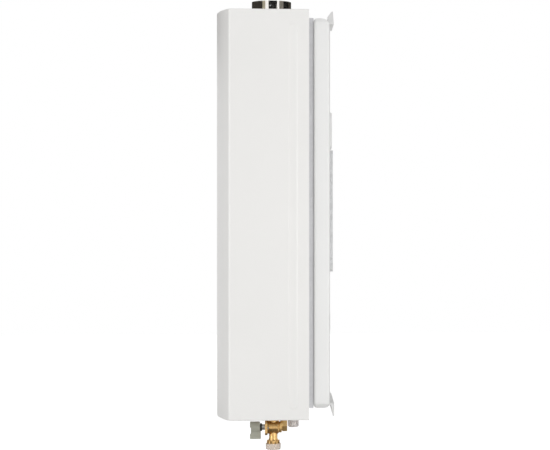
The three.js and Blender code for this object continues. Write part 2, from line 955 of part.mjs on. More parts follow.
function flueSeal() {
  const inner = flueDiameter / 2 + seatGap;
  const bottom = coverTop + seatGap;
  const shape = turned([
    [inner, bottom], [inner + sealWidth, bottom], [inner + sealWidth, bottom + sealHeight / 2],
    [inner + sealWidth / 2, bottom + sealHeight], [inner, bottom + sealHeight],
  ], largeSides);
  return piece('flue_seal', shape, rubber(), [0, flueY, 0]);
}

function casing() {
  const group = new THREE.Group();
  group.add(frontCover(), rearPan(), chassisBox(), topBracket(), bottomBracket());
  group.add(...rivetPlaces().map(bracketRivet));
  group.add(spacerStrip('spacer_strip_left', -1), spacerStrip('spacer_strip_right', 1));
  group.add(...lugPlaces().map(coverScrew));
  group.add(flueCollar(), flueSeal());
  return group;
}

// Exhaust blower

function scrollCorners() {
  const corners = [[outletHalfWidth, chassisTop - chassisWall - seatGap - blowerZ]];
  corners.push([-outletHalfWidth, corners[0][1]]);
  for (let step = 0; step <= scrollSteps; step += 1) {
    const share = step / scrollSteps;
    const angle = scrollStart + (2 * Math.PI - scrollStart) * share;
    const radius = scrollLeast + (scrollMost - scrollLeast) * share;
    corners.push([wheelX + radius * Math.cos(angle), radius * Math.sin(angle)]);
  }
  return corners;
}

function blowerHousing() {
  const half = blowerDepth / 2;
  const outletTop = chassisTop - chassisWall - seatGap - blowerZ;
  const flow = shrink(scrollCorners(), blowerWall);
  const duct = block(
    blowerWall - outletHalfWidth, outletHalfWidth - blowerWall, blowerWall - half, half - blowerWall,
    scrollLeast, outletTop + overrun,
  );
  const shape = cut(
    extrudeBack(outline(scrollCorners()), -half, half),
    extrudeBack(outline(flow), blowerWall - half, half - blowerWall),
    duct,
    rodBack(blowerInletRadius, 0, half + overrun).translate(wheelX, 0, 0),
    rodBack(shaftRadius + holeGap, -half - overrun, 0).translate(wheelX, 0, 0),
  );
  return piece('blower_housing', shape, galvanised());
}

function blowerWheel() {
  const half = wheelDepth / 2;
  const plate = rodBack(wheelRadius, -half, wheelPlate - half);
  const rim = cut(
    rodBack(wheelRadius, half - wheelPlate, half),
    rodBack(wheelRadius - wheelRim, half - wheelPlate - overrun, half + overrun),
  );
  const hub = rodBack(2 * shaftRadius, -half, half / 2, smallSides);
  const blades = [];
  for (let blade = 0; blade < bladeCount; blade += 1) {
    const plateShape = block(
      wheelRadius - wheelRim, wheelRadius - bladeWall, -half + wheelPlate / 2, half - wheelPlate / 2,
      -bladeWall / 2, bladeWall / 2,
    );
    blades.push(plateShape.rotateY(2 * Math.PI * blade / bladeCount));
  }
  const bore = rodBack(shaftRadius + runningGap, -half - overrun, half + overrun, smallSides);
  return piece('blower_wheel', cut(join(plate, rim, hub, ...blades), bore), galvanised(), [wheelX, 0, 0]);
}

function blowerShaft() {
  const front = -blowerDepth / 2 - shaftFlat;
  const shape = rodBack(shaftRadius, front, wheelDepth * shaftBackShare, smallSides);
  return piece('blower_shaft', shape, brightSteel(), [wheelX, 0, 0]);
}

function blowerMotor() {
  const back = -blowerDepth / 2 - seatGap;
  const front = back - motorLength;
  const can = turned([
    [0, -back], [motorRadius, -back], [motorRadius, -back + motorRib],
    [motorRadius - motorRib, -back + motorRib], [motorRadius - motorRib, -front - motorRib],
    [motorRadius - 2 * motorRib, -front], [0, -front],
  ], roundSides).rotateX(Math.PI / 2);
  const bore = rodBack(
    shaftRadius + holeGap, -blowerDepth / 2 - shaftFlat - holeGap, overrun, smallSides,
  );
  return piece('blower_motor', cut(can, bore), castAluminium(), [wheelX, 0, 0]);
}

function flueHood() {
  const bottom = chamberTop + seatGap;
  const shoulder = coverTop - hoodShoulderDrop;
  const top = coverTop - hoodTopDrop;
  const chimneyFront = blowerBack + seatGap;
  const wall = hoodWall;
  const outer = join(
    block(-chamberHalfWidth, chamberHalfWidth, chamberFront, chamberBack, bottom, shoulder),
    block(-chimneyHalfWidth, chimneyHalfWidth, chimneyFront, chamberBack, shoulder - wall, top),
  );
  const hollow = join(
    block(
      wall - chamberHalfWidth, chamberHalfWidth - wall, chamberFront + wall, chamberBack - wall,
      bottom - overrun, shoulder - wall,
    ),
    block(
      wall - chimneyHalfWidth, chimneyHalfWidth - wall, chimneyFront + wall, chamberBack - wall,
      shoulder - 2 * wall, top - wall,
    ),
  );
  const port = rodBack(blowerInletRadius, chimneyFront - overrun, chimneyFront + overrun);
  return piece('flue_hood', cut(outer, hollow, port.translate(wheelX, 0, blowerZ)), galvanised());
}

function exhaust() {
  const group = new THREE.Group();
  const blower = new THREE.Group();
  blower.add(blowerHousing(), blowerWheel(), blowerShaft(), blowerMotor());
  blower.position.set(0, flueY, blowerZ);
  group.add(blower, flueHood());
  return group;
}

// Combustion chamber with the heat exchanger in its top

function chamberFoot(height) {
  return block(
    -footPlateHalfWidth, footPlateHalfWidth, chamberBack - chamberWall / 2, chassisInnerBack - seatGap,
    height, height + footPlate,
  );
}

function probeHole(side) {
  const reach = probeBodyRadius + seatGap;
  return rodBack(reach, chamberFront - overrun, chamberFront + overrun, smallSides)
    .translate(side * probeSpacing / 2, 0, chamberBottom + probeRise);
}

function combustionChamber() {
  const half = chamberHalfWidth;
  const wall = chamberWall;
  const shell = cut(
    join(
      block(-half, half, chamberFront, chamberBack, chamberBottom, chamberTop),
      chamberFoot(chamberTop - footPlateMargin), chamberFoot(chamberBottom + footPlateMargin),
    ),
    block(
      wall - half, half - wall, chamberFront + wall, chamberBack - wall,
      chamberBottom - overrun, chamberTop + overrun,
    ),
    rodAcross(waterPipeRadius + holeGap, -half - overrun, half + overrun).translate(0, waterY, waterwayZ),
    probeHole(-1), probeHole(1),
  );
  return piece('combustion_chamber', shell, tinnedCopper());
}

// As many fins as the chamber has room for beside each other
function finCount() {
  const half = chamberHalfWidth - chamberWall - seatGap;
  return Math.floor((2 * half - finWall) / finPitch) + 1;
}

// A waterway along X with plates above and below it, as one comb that shows from the front.
function exchangerFins() {
  const count = finCount();
  const first = -(count - 1) * finPitch / 2;
  const teeth = [];
  for (let fin = 0; fin < count; fin += 1) {
    const middle = first + fin * finPitch;
    teeth.push([middle - finWall / 2, spineHeight / 2, finHeight / 2]);
    teeth.push([middle + finWall / 2, finHeight / 2, spineHeight / 2]);
  }
  const upper = teeth.flatMap(([x, from, to]) => [[x, from], [x, to]]);
  const lower = upper.map(([x, z]) => [x, -z]);
  const shape = extrudeBack(
    outline([...lower, ...upper.reverse()]),
    chamberFront + chamberWall + seatGap, chamberBack - chamberWall - seatGap,
  );
  return piece('exchanger_fins', shape.translate(0, 0, waterwayZ), copper());
}

const spineEnd = () => ((finCount() - 1) * finPitch + finWall) / 2;

function exchangerCoil() {
  const front = chamberFront - coilGap - waterPipeRadius;
  const back = chamberBack + coilGap + waterPipeRadius;
  const start = chamberBottom + seatGap;
  const low = start + coilRise;
  const high = coverTop - coilTopDrop;
  const laps = [[1, front], [-1, front], [-1, back], [1, back]];
  const cornerCount = 2 * laps.length;
  const corners = [];
  for (let corner = 0; corner < cornerCount; corner += 1) {
    const [side, y] = laps[corner % laps.length];
    const height = low + (high - low) * (corner + 1) / (cornerCount + 1);
    corners.push([side * coilX, y, height]);
  }
  const shape = pipe([
    [coilX, waterY, start], [coilX, waterY, low], ...corners, [coilX, waterY, high],
    [coilX, waterY, waterwayZ], [spineEnd() + seatGap, waterY, waterwayZ],
  ], coilBend, waterPipeRadius);
  return piece('exchanger_coil', shape, copper());
}

function probe(name, side) {
  const face = seatGap;
  const shape = turned([
    [0, -probeWireLength], [probeWire, -probeWireLength], [probeWire, -probeBodyLength / 2],
    [probeBodyRadius, -probeBodyLength / 2], [probeBodyRadius, face], [probeFlangeRadius, face],
    [probeFlangeRadius, face + probeFlange], [probeBodyRadius, face + probeFlange],
    [probeBodyRadius, probeBodyLength], [0, probeBodyLength],
  ], smallSides).rotateX(Math.PI / 2);
  const place = [side * probeSpacing / 2, chamberFront, chamberBottom + probeRise];
  return piece(name, shape, ceramic(), place);
}

function overheatThermostat() {
  const stepHeight = thermostatHeight * thermostatStemFlatShare;
  const stem = thermostatRadius * thermostatStemShare;
  const shape = turned([
    [0, seatGap], [thermostatRadius, seatGap], [thermostatRadius, stepHeight], [stem, stepHeight],
    [stem, thermostatHeight], [0, thermostatHeight],
  ], smallSides).rotateX(Math.PI / 2);
  return piece(
    'overheat_thermostat', shape, blackPlastic(), [0, chamberFront, chamberTop - thermostatDrop],
  );
}

function heatExchange() {
  const group = new THREE.Group();
  group.add(combustionChamber(), exchangerFins(), exchangerCoil());
  group.add(probe('spark_electrode', -1), probe('flame_sensor', 1), overheatThermostat());
  return group;
}

// Burner and gas train

function nozzlePlaces() {
  const first = -(nozzleCount - 1) * nozzlePitch / 2;
  return Array.from({ length: nozzleCount }, (_, nozzle) => first + nozzle * nozzlePitch);
}

function burnerRack() {
  const slots = [];
  const count = Math.floor((2 * burnerHalfWidth - burnerSlot) / burnerPitch);
  const first = -(count - 1) * burnerPitch / 2;
  for (let blade = 0; blade < count; blade += 1) {
    const middle = first + blade * burnerPitch;
    slots.push(block(
      middle - burnerSlot / 2, middle + burnerSlot / 2, burnerFront + burnerSlot,
      burnerFront + burnerDepth - burnerSlot, burnerBottom + burnerBase, burnerTop + overrun,
    ));
  }
  const throats = nozzlePlaces().map((x) => (
    rodBack(nozzleRadius + slideGap, burnerFront - overrun, burnerFront + nozzleReach, pipeSides)
      .translate(x, 0, nozzleZ)
  ));
  const body = block(
    -burnerHalfWidth, burnerHalfWidth, burnerFront, burnerFront + burnerDepth, burnerBottom, burnerTop,
  );
  return piece('burner_rack', cut(body, ...slots, ...throats), galvanised());
}

function gasManifold() {
  const reach = (nozzleCount - 1) * nozzlePitch / 2 + manifoldDepth;
  const bar = block(
    -reach, reach, manifoldFront, manifoldBack, manifoldBottom, manifoldBottom + manifoldHeight,
  );
  const nozzles = nozzlePlaces().map((x) => (
    rodBack(
      nozzleRadius, manifoldBack - manifoldDepth / 2, burnerFront + nozzleReach - seatGap, pipeSides,
    )
      .translate(x, 0, nozzleZ)
  ));
  return piece('gas_manifold', join(bar, ...nozzles), brass());
}

const gasValveMiddle = gasValveLeft + gasValveWidth / 2;

function gasValveBody() {
  const top = gasValveTop;
  const body = extrudeBack(
    outline(rectangle(
      gasValveLeft, gasValveLeft + gasValveWidth, top - gasValveHeight, top, bracketCorner,
    )),
    gasTrainY - gasValveDepth / 2, gasTrainY + gasValveDepth / 2,
  );
  return piece('gas_valve_body', body, castAluminium());
}

function gasSolenoid() {
  const left = gasValveLeft + gasValveWidth + seatGap;
  const shape = rodAcross(solenoidRadius, left, left + solenoidLength);
  return piece('gas_solenoid', shape, blackPlastic(), [0, gasTrainY, gasValveTop - gasValveHeight / 2]);
}

function gasPipes() {
  const feed = rodUp(gasPipeRadius, gasValveTop + seatGap, manifoldBottom - seatGap, pipeSides);
  const start = nippleTop + seatGap;
  const end = gasValveTop - gasValveHeight - seatGap;
  const turn = (start + end) / 2;
  const supply = pipe([
    [0, gasY, start], [0, gasY, turn], [gasValveMiddle, gasTrainY, turn],
    [gasValveMiddle, gasTrainY, end],
  ], gasPipeBend, gasPipeRadius);
  return [
    piece('gas_feed_pipe', feed, copper(), [gasValveMiddle, gasTrainY, 0]),
    piece('gas_inlet_pipe', supply, copper()),
  ];
}

function gasTrain() {
  const group = new THREE.Group();
  group.add(burnerRack(), gasManifold(), gasValveBody(), gasSolenoid(), ...gasPipes());
  return group;
}

// Water pipes, fittings and flow sensor

// A tube that stands on the floor of the chassis and reaches down out of the cover.
function nipple(name, x, y, reach, material) {
  const seat = chassisBottom + chassisWall + seatGap;
  const end = coverBottom - reach;
  const shape = turned([
    [nippleBore, end], [nippleRadius, end], [nippleRadius, seat], [nippleFlangeRadius, seat],
    [nippleFlangeRadius, seat + nippleFlange], [nippleStubRadius, seat + nippleFlange],
    [nippleStubRadius, nippleTop], [nippleBore, nippleTop],
  ]);
  return piece(name, shape, material, [x, y, 0]);
}

function flowSensorBody() {
  const neck = waterPipeRadius + sensorWall;
  const step = (sensorLength - turbineLength) * sensorStepShare;
  const shape = cut(
    turned([
      [0, sensorBottom], [sensorRadius, sensorBottom], [sensorRadius, sensorTop - step],
      [neck, sensorTop - step / 2], [neck, sensorTop], [0, sensorTop],
    ]),
    rodUp(nippleBore, sensorBottom - overrun, sensorBottom + step),
    rodUp(turbineRadius + 2 * runningGap, sensorBottom + step, sensorTop - 2 * step, largeSides),
    rodUp(waterPipeRadius - sensorWall / 2, sensorBottom, sensorTop + overrun, smallSides),
  );
  return piece('flow_sensor_body', shape, blackPlastic(), [waterX, waterY, 0]);
}

function flowTurbine() {
  const step = (sensorLength - turbineLength) * sensorStepShare;
  const bottom = sensorBottom + step + seatGap;
  const bladeHalf = turbineHub * turbineBladeShare;
  const blades = [];
  for (let blade = 0; blade < turbineBlades; blade += 1) {
    const plate = block(0, turbineRadius, -bladeHalf, bladeHalf, bottom, bottom + turbineLength);
    blades.push(plate.rotateZ(2 * Math.PI * blade / turbineBlades));
  }
  const hub = rodUp(turbineHub, bottom, bottom + turbineLength, pipeSides);
  return piece('flow_turbine', join(hub, ...blades), greyPlastic(), [waterX, waterY, 0]);
}

function coldWaterPipe() {
  const start = sensorTop + seatGap;
  const end = chamberBottom - seatGap;
  const run = (end - start) * coldPipeRunShare;
  const shape = pipe([
    [waterX, waterY, start], [waterX, waterY, start + run], [coilX, waterY, end - 2 * run],
    [coilX, waterY, end],
  ], gasPipeBend, waterPipeRadius);
  return piece('cold_water_pipe', shape, copper());
}

function hotWaterPipe() {
  const start = nippleTop + seatGap;
  const side = -coilX - hotPipeStandOff;
  const rise = (controlTop() - start) * hotPipeRunShare;
  const shape = pipe([
    [-waterX, waterY, start], [-waterX, waterY, start + rise], [side, waterY, controlTop() - rise],
    [side, waterY, waterwayZ], [-spineEnd() - seatGap, waterY, waterwayZ],
  ], gasPipeBend, waterPipeRadius);
  return piece('hot_water_pipe', shape, copper());
}

function drainPlug() {
  const head = coverBottom - drainReach;
  const neck = head + drainHeadHeight;
  const body = turned([
    [0, head], [drainRadius - drainRibRadius, head], [drainRadius - drainRibRadius, neck],
    [drainStemRadius, neck], [drainStemRadius, chassisBottom + chassisWall + nippleFlange],
    [0, chassisBottom + chassisWall + nippleFlange],
  ]);
  const ribs = Array.from({ length: drainRibCount }, (_, rib) => (
    rodUp(drainRibRadius, head + drainRibRadius, neck - drainRibRadius, pipeSides)
      .translate(drainRadius - drainRibRadius, 0, 0)
      .rotateZ(2 * Math.PI * rib / drainRibCount)
  ));
  return piece('drain_plug', join(body, ...ribs), clearPlastic(), [drainFromCentre, gasY, 0]);
}

function cableGland() {
  const seat = chassisBottom + chassisWall + seatGap;
  const end = coverBottom - glandReach;
  const shape = turned([
    [glandBore, end], [glandRadius - glandBore / 2, end], [glandRadius, end + glandBore],
    [glandRadius, seat], [glandRadius + glandBore, seat], [glandRadius + glandBore, seat + nippleFlange],
    [glandBore, seat + nippleFlange],
  ]);
  return piece('cable_gland', shape, blackPlastic(), [glandFromCentre, gasY, 0]);
}

function plumbing() {
  const group = new THREE.Group();
  group.add(
    nipple('cold_inlet_nipple', waterX, waterY, coldNippleReach, brass()),
    nipple('hot_outlet_nipple', -waterX, waterY, hotNippleReach, brass()),
    nipple('gas_inlet_nipple', 0, gasY, gasNippleReach, brass()),
  );
  group.add(flowSensorBody(), flowTurbine(), coldWaterPipe(), hotWaterPipe(), drainPlug(), cableGland());
  return group;
}

// Water inlet valve, modelled about the point where its stem meets its waterway

function valveBody() {
  const flange = extrudeBack(outline(rectangle(
    -flangeHalfWidth, flangeHalfWidth, -flangeDrop, flangeRise, flangeCorner,
  )), -flangeFront, -flangeBack);
  const barrel = turned([
    [0, -barrelBack], [barrelRadius - barrelRound, -barrelBack],
    [barrelRadius, barrelRound - barrelBack], [barrelRadius, flangeFront - stemNeckRadius],
    [0, flangeFront - stemNeckRadius],
  ]).rotateX(Math.PI / 2);
  const outlet = turned([
    [0, -outletThreadEnd], [outletThreadRadius, -outletThreadEnd],
    [outletThreadRadius, -splineEnd], [outletConeRadius, -splineEnd],
    [outletConeRadius, -outletConeEnd], [outletNeckRadius, -outletNeckEnd],
    [outletNeckRadius, 0], [0, 0],
  ]);
  const splines = Array.from({ length: splineCount }, (_, spline) => (
    block(0, splineRadius, -splineHalf, splineHalf, -splineEnd, -outletConeEnd)
      .rotateZ(2 * Math.PI * spline / splineCount)
  ));
  const tail = turned([
    [0, 0], [tailRadius, 0], [tailRadius, tailTop - tailFlange], [tailFlangeRadius, tailTop - tailFlange],
    [tailFlangeRadius, tailTop], [0, tailTop],
  ]);
  const chamber = new THREE.SphereGeometry(ballChamberRadius, roundSides, smallSides);
  const shape = cut(
    join(flange, barrel, outlet, ...splines, tail),
    chamber,
    rodUp(waterwayRadius, -outletThreadEnd - overrun, tailTop + overrun, smallSides),
    rodBack(stemNeckRadius + runningGap, -flangeFront - overrun, 0, roundSides),
    rodBack(stemRadius + runningGap, -flangeFront - overrun, -flangeBack - stemSink, roundSides),
    rodBack(plugSpigotRadius + seatGap, barrelBack - plugSpigotLength / 2, barrelBack + overrun)
      .translate(0, 0, plugRise),
    ...[-1, 1].map((side) => (
      rodBack(flangeScrewRadius + runningGap, -flangeFront - overrun, 0, pipeSides)
        .translate(side * flangeScrewX, 0, 0)
    )),
  );
  return piece('valve_body', shape, brass());
}

function valveBall() {
  const slotFloor = seatGap - stemTip + ballSlotDepth;
  const sphere = new THREE.SphereGeometry(ballRadius, roundSides, smallSides);
  const shape = cut(
    sphere,
    rodUp(waterwayRadius, -2 * ballRadius, 2 * ballRadius, smallSides),
    block(-2 * ballRadius, 2 * ballRadius, -2 * ballRadius, slotFloor, -ballSlotHalf, ballSlotHalf),
  );
  return piece('valve_ball', shape, brightSteel());
}

function valveStem() {
  const shape = turned([
    [0, stemTip], [stemNeckRadius, stemTip], [stemNeckRadius, flangeBack + stemSink + seatGap],
    [stemRadius, flangeBack + stemSink + seatGap], [stemRadius, knobBack - runningGap],
    [stemNeckRadius, knobBack - runningGap], [stemNeckRadius, knobBack + knobBore - slideGap],
    [0, knobBack + knobBore - slideGap],
  ]).rotateX(Math.PI / 2);
  return piece('valve_stem', shape, brightSteel());
}

function valveRing() {
  const inner = stemRadius + runningGap;
  const shape = turned([
    [inner, ringFront - ringLength], [ringRadius, ringFront - ringLength], [ringRadius, ringFront],
    [inner, ringFront],
  ]).rotateX(Math.PI / 2);
  return piece('valve_packing_ring', shape, darkPlastic());
}

function valveKnob() {
  const hub = rodBack(knobHubRadius, -knobFront, -knobBack);
  const grip = extrudeBack(outline(rectangle(
    -knobPaddleHalfWidth, knobPaddleHalfWidth, -knobPaddleReach, 0, knobPaddleHalfWidth / 2,
  )), -knobPaddleFront, -knobBack, runningGap);
  const skirt = extrudeBack(outline(rectangle(
    -knobPaddleHalfWidth, knobPaddleHalfWidth, -knobPaddleReach, -knobHubRadius, knobPaddleHalfWidth / 2,
  )), -knobBack - knobPaddleHalfWidth, -knobPaddleBack, runningGap);
  const bore = rodBack(stemNeckRadius + runningGap, -knobBack - knobBore, overrun);
  return piece('valve_lever_knob', cut(join(hub, grip, skirt), bore), greyPlastic());
}

function valveRearPlug() {
  const back = barrelBack + seatGap;
  const collar = rodBack(plugCollarRadius, back, back + plugCollar);
  const head = extrudeBack(hexagon(plugAcrossFlats), back + plugCollar, back + plugLength);
  const spigot = rodBack(
    plugSpigotRadius, barrelBack - plugSpigotLength / 2 + seatGap, back + plugLength / 2,
  );
  return piece('valve_rear_plug', join(collar, head, spigot), brass(), [0, 0, plugRise]);
}

function valveUnionNut() {
  const body = extrudeUp(hexagon(nutAcrossFlats, hexagonTurn), nutBottom, nutBottom + nutHeight);
  const shape = cut(
    body,
    rodUp(nippleRadius + seatGap, nutBottom + nutLip, nutBottom + nutHeight + overrun),
    rodUp(tailRadius + seatGap, nutBottom - overrun, nutBottom + overrun),
  );
  return piece('valve_union_nut', shape, brass());
}

function valveEndCap() {
  const inner = outletThreadRadius + seatGap;
  const shape = turned([
    [0, -capEnd], [capRadius - capWall, -capEnd], [capRadius, capWall - capEnd], [capRadius, -capTop],
    [inner, -capTop], [inner, -outletThreadEnd - seatGap], [0, -outletThreadEnd - seatGap],
  ]);
  return piece('valve_end_cap', shape, clearPlastic());
}

function flangeScrew(name, side) {
  const head = seatGap - flangeBack;
  const shape = turned([
    [0, -flangeFront - seatGap], [flangeScrewRadius, -flangeFront - seatGap], [flangeScrewRadius, head],
    [flangeScrewHead, head], [flangeScrewHead * headRimShare, head + flangeScrewHeadHeight],
    [0, head + flangeScrewHeadHeight],
  ], smallSides).rotateX(-Math.PI / 2);
  return piece(name, shape, brightSteel(), [side * flangeScrewX, 0, 0]);
}

function inletValve() {
  const group = new THREE.Group();
  group.add(valveBody(), valveBall(), valveStem(), valveRing(), valveKnob(), valveRearPlug());
  group.add(valveUnionNut(), valveEndCap());
  group.add(flangeScrew('valve_flange_screw_left', -1), flangeScrew('valve_flange_screw_right', 1));
  group.position.set(waterX, waterY, valveZ);
  return group;
}

// Controls

function controlTop() {
  return chassisBottom + controlRise + controlHeight;
}

function controlBox() {
  const left = chassisWall + seatGap - chassisWidth / 2;
  const right = left + controlWidth;
  const front = frontY + controlFrontGap;
  const bottom = controlTop() - controlHeight;
  const boardBack = front + boardSetback;
  const shell = cut(
    block(left, right, front, front + controlDepth, bottom, controlTop()),
    block(
      left + controlWall, right - controlWall, front - overrun, front + controlDepth - controlWall,
      bottom + controlWall, controlTop() - controlWall,
    ),
  );
  const bosses = [-1, 1].map((side) => (
    rodBack(
      bossRadius, boardBack + boardThickness + seatGap, front + controlDepth - controlWall / 2,
      pipeSides,
    ).translate(
      (left + right) / 2 + side * controlWidth * bossPlaceShare, 0, controlTop() - controlHeight / 2,
    )
  ));
  return piece('control_box', join(shell, ...bosses), darkPlastic());
}

function controlBoard() {
  const left = chassisWall + seatGap - chassisWidth / 2 + boardMargin;
  const right = left + controlWidth - 2 * boardMargin;
  const front = frontY + controlFrontGap + boardSetback;
  const bottom = controlTop() - controlHeight + boardMargin;
  const top = controlTop() - boardMargin;
  const plate = block(left, right, front, front + boardThickness, bottom, top);
  const chips = chipPlaceShares.map((share) => {
    const middle = left + (right - left) * share;
    const base = bottom + (top - bottom) * share * chipRiseShare + boardMargin;
    return block(
      middle - chipWidth / 2, middle + chipWidth / 2, front - chipHeight, front + boardThickness / 2,
      base, base + chipWidth,
    );
  });
  return piece('control_board', join(plate, ...chips), circuitBoard());
}

function buttonPlaces() {
  const middle = coverBottom + displayRise;
  return ['power', 'up', 'down'].map((name, index) => ({
    name, x: buttonFirst + index * buttonPitch, z: middle,
  }));
}

const panelBack = frontY + coverWall + seatGap + displayFlangeWall;

function displayPanel() {
  const face = extrudeBack(
    outline(shrink(displayCorners(0), slideGap)), frontY + runningGap, panelBack - displayFlangeWall / 2,
  );
  const flange = extrudeBack(
    outline(displayCorners(displayFlange)), panelBack - displayFlangeWall, panelBack,
  );
  const middle = coverBottom + displayRise;
  const postX = displayWidth / 2 - displayPostRadius;
  const postZ = displayHeight / 2 - displayPostRadius;
  const postFront = panelBack - displayFlangeWall / 2;
  const postBack = panelBack + displayBoardSetback - seatGap;
  const posts = [[-1, -1], [1, -1], [1, 1], [-1, 1]].map(([side, level]) => (
    rodBack(displayPostRadius, postFront, postBack, pipeSides)
      .translate(side * postX, 0, middle + level * postZ)
  ));
  const holes = buttonPlaces().map(({ x, z }) => (
    rodBack(buttonRadius + slideGap, frontY - overrun, panelBack + overrun).translate(x, 0, z)
  ));
  return piece('display_panel', cut(join(face, flange, ...posts), ...holes), blackPlastic());
}

function displayBoard() {
  const front = panelBack + displayBoardSetback;
  const middle = coverBottom + displayRise;
  const shape = block(
    -displayWidth / 2, displayWidth / 2, front, front + boardThickness,
    middle - displayHeight / 2, middle + displayHeight / 2,
  );
  return piece('display_board', shape, circuitBoard());
}

function pushButton({ name, x, z }) {
  const collar = panelBack + seatGap;
  const shape = turned([
    [0, -buttonProud], [buttonRadius * buttonFaceShare, -buttonProud], [buttonRadius, -buttonProud / 2],
    [buttonRadius, collar - frontY], [buttonRadius + buttonCollar, collar - frontY],
    [buttonRadius + buttonCollar, collar - frontY + buttonCollarWall],
    [0, collar - frontY + buttonCollarWall],
  ]).rotateX(-Math.PI / 2);
  return piece(`button_${name}`, shape, greyPlastic(), [x, frontY, z]);
}

function controls() {
  const group = new THREE.Group();
  group.add(controlBox(), controlBoard(), displayPanel(), displayBoard());
  group.add(...buttonPlaces().map(pushButton));
  return group;
}

const heater = new THREE.Group();
heater.add(casing(), exhaust(), heatExchange(), gasTrain(), plumbing(), inletValve(), controls());

export default heater;
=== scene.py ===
"""A wall hung tankless water heater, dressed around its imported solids."""

import logging
import math
from dataclasses import dataclass, field
from enum import Enum
from typing import Iterable, Sequence

import bmesh
import bpy
from mathutils import Matrix, Vector


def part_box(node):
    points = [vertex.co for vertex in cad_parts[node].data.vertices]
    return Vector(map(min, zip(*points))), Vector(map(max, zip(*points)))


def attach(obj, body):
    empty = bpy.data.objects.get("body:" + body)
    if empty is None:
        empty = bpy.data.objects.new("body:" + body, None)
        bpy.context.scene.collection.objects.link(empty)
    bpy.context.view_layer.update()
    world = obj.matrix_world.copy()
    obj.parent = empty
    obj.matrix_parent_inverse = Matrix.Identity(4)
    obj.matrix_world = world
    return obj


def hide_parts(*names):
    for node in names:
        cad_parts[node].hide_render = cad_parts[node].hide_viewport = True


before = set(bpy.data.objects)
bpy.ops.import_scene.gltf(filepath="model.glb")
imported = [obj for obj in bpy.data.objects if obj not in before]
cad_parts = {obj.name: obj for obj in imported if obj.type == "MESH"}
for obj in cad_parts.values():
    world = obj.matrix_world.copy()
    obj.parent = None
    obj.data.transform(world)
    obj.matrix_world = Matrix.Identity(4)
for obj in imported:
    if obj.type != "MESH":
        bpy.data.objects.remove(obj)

MM = 0.001
WELD_REACH = 2e-6
TURN_WELD = 1e-6
FINE_WELD = 1e-7
FLAT_DEGREES = 0.5
SOFT_EDGE_DEGREES = 35.0
LOG = logging.getLogger("water_heater")
Place = tuple[float, float]
Point = tuple[float, float, float]


class Facing(Enum):
    """The way in which a turned or pressed shape's own +Z points once it is in place."""

    UP = (0.0, 0.0, 1.0)
    DOWN = (0.0, 0.0, -1.0)
    FRONT = (0.0, -1.0, 0.0)
    WALL = (0.0, 1.0, 0.0)
    RIGHT = (1.0, 0.0, 0.0)
    LEFT = (-1.0, 0.0, 0.0)

    def turn(self) -> Matrix:
        """Gives the rotation that brings +Z to this direction.

        Returns:
            The rotation.
        """
        way = Vector(self.value)
        if self is Facing.UP:
            return Matrix.Identity(4)
        if self is Facing.DOWN:
            return Matrix.Rotation(math.pi, 4, "X")
        return way.to_track_quat("Z", "Y").to_matrix().to_4x4()


class Body(Enum):
    """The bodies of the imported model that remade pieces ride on."""

    HEATER = "heater"
    VALVE_LEVER = "valve_lever"
    END_CAP = "end_cap"
    POWER = "power_button"
    UP = "up_button"
    DOWN = "down_button"


def linear(colour: Sequence[float]) -> tuple[float, float, float, float]:
    """Turns a colour of 0 to 255 as a screen shows it into the shader's linear one.

    Args:
        colour: Red, green and blue from 0 to 255.

    Returns:
        Linear red, green, blue and an alpha of 1.
    """
    shares = (value / 255 for value in colour)
    return (*(s / 12.92 if s <= 0.04045 else ((s + 0.055) / 1.055) ** 2.4 for s in shares), 1.0)


# Node trees


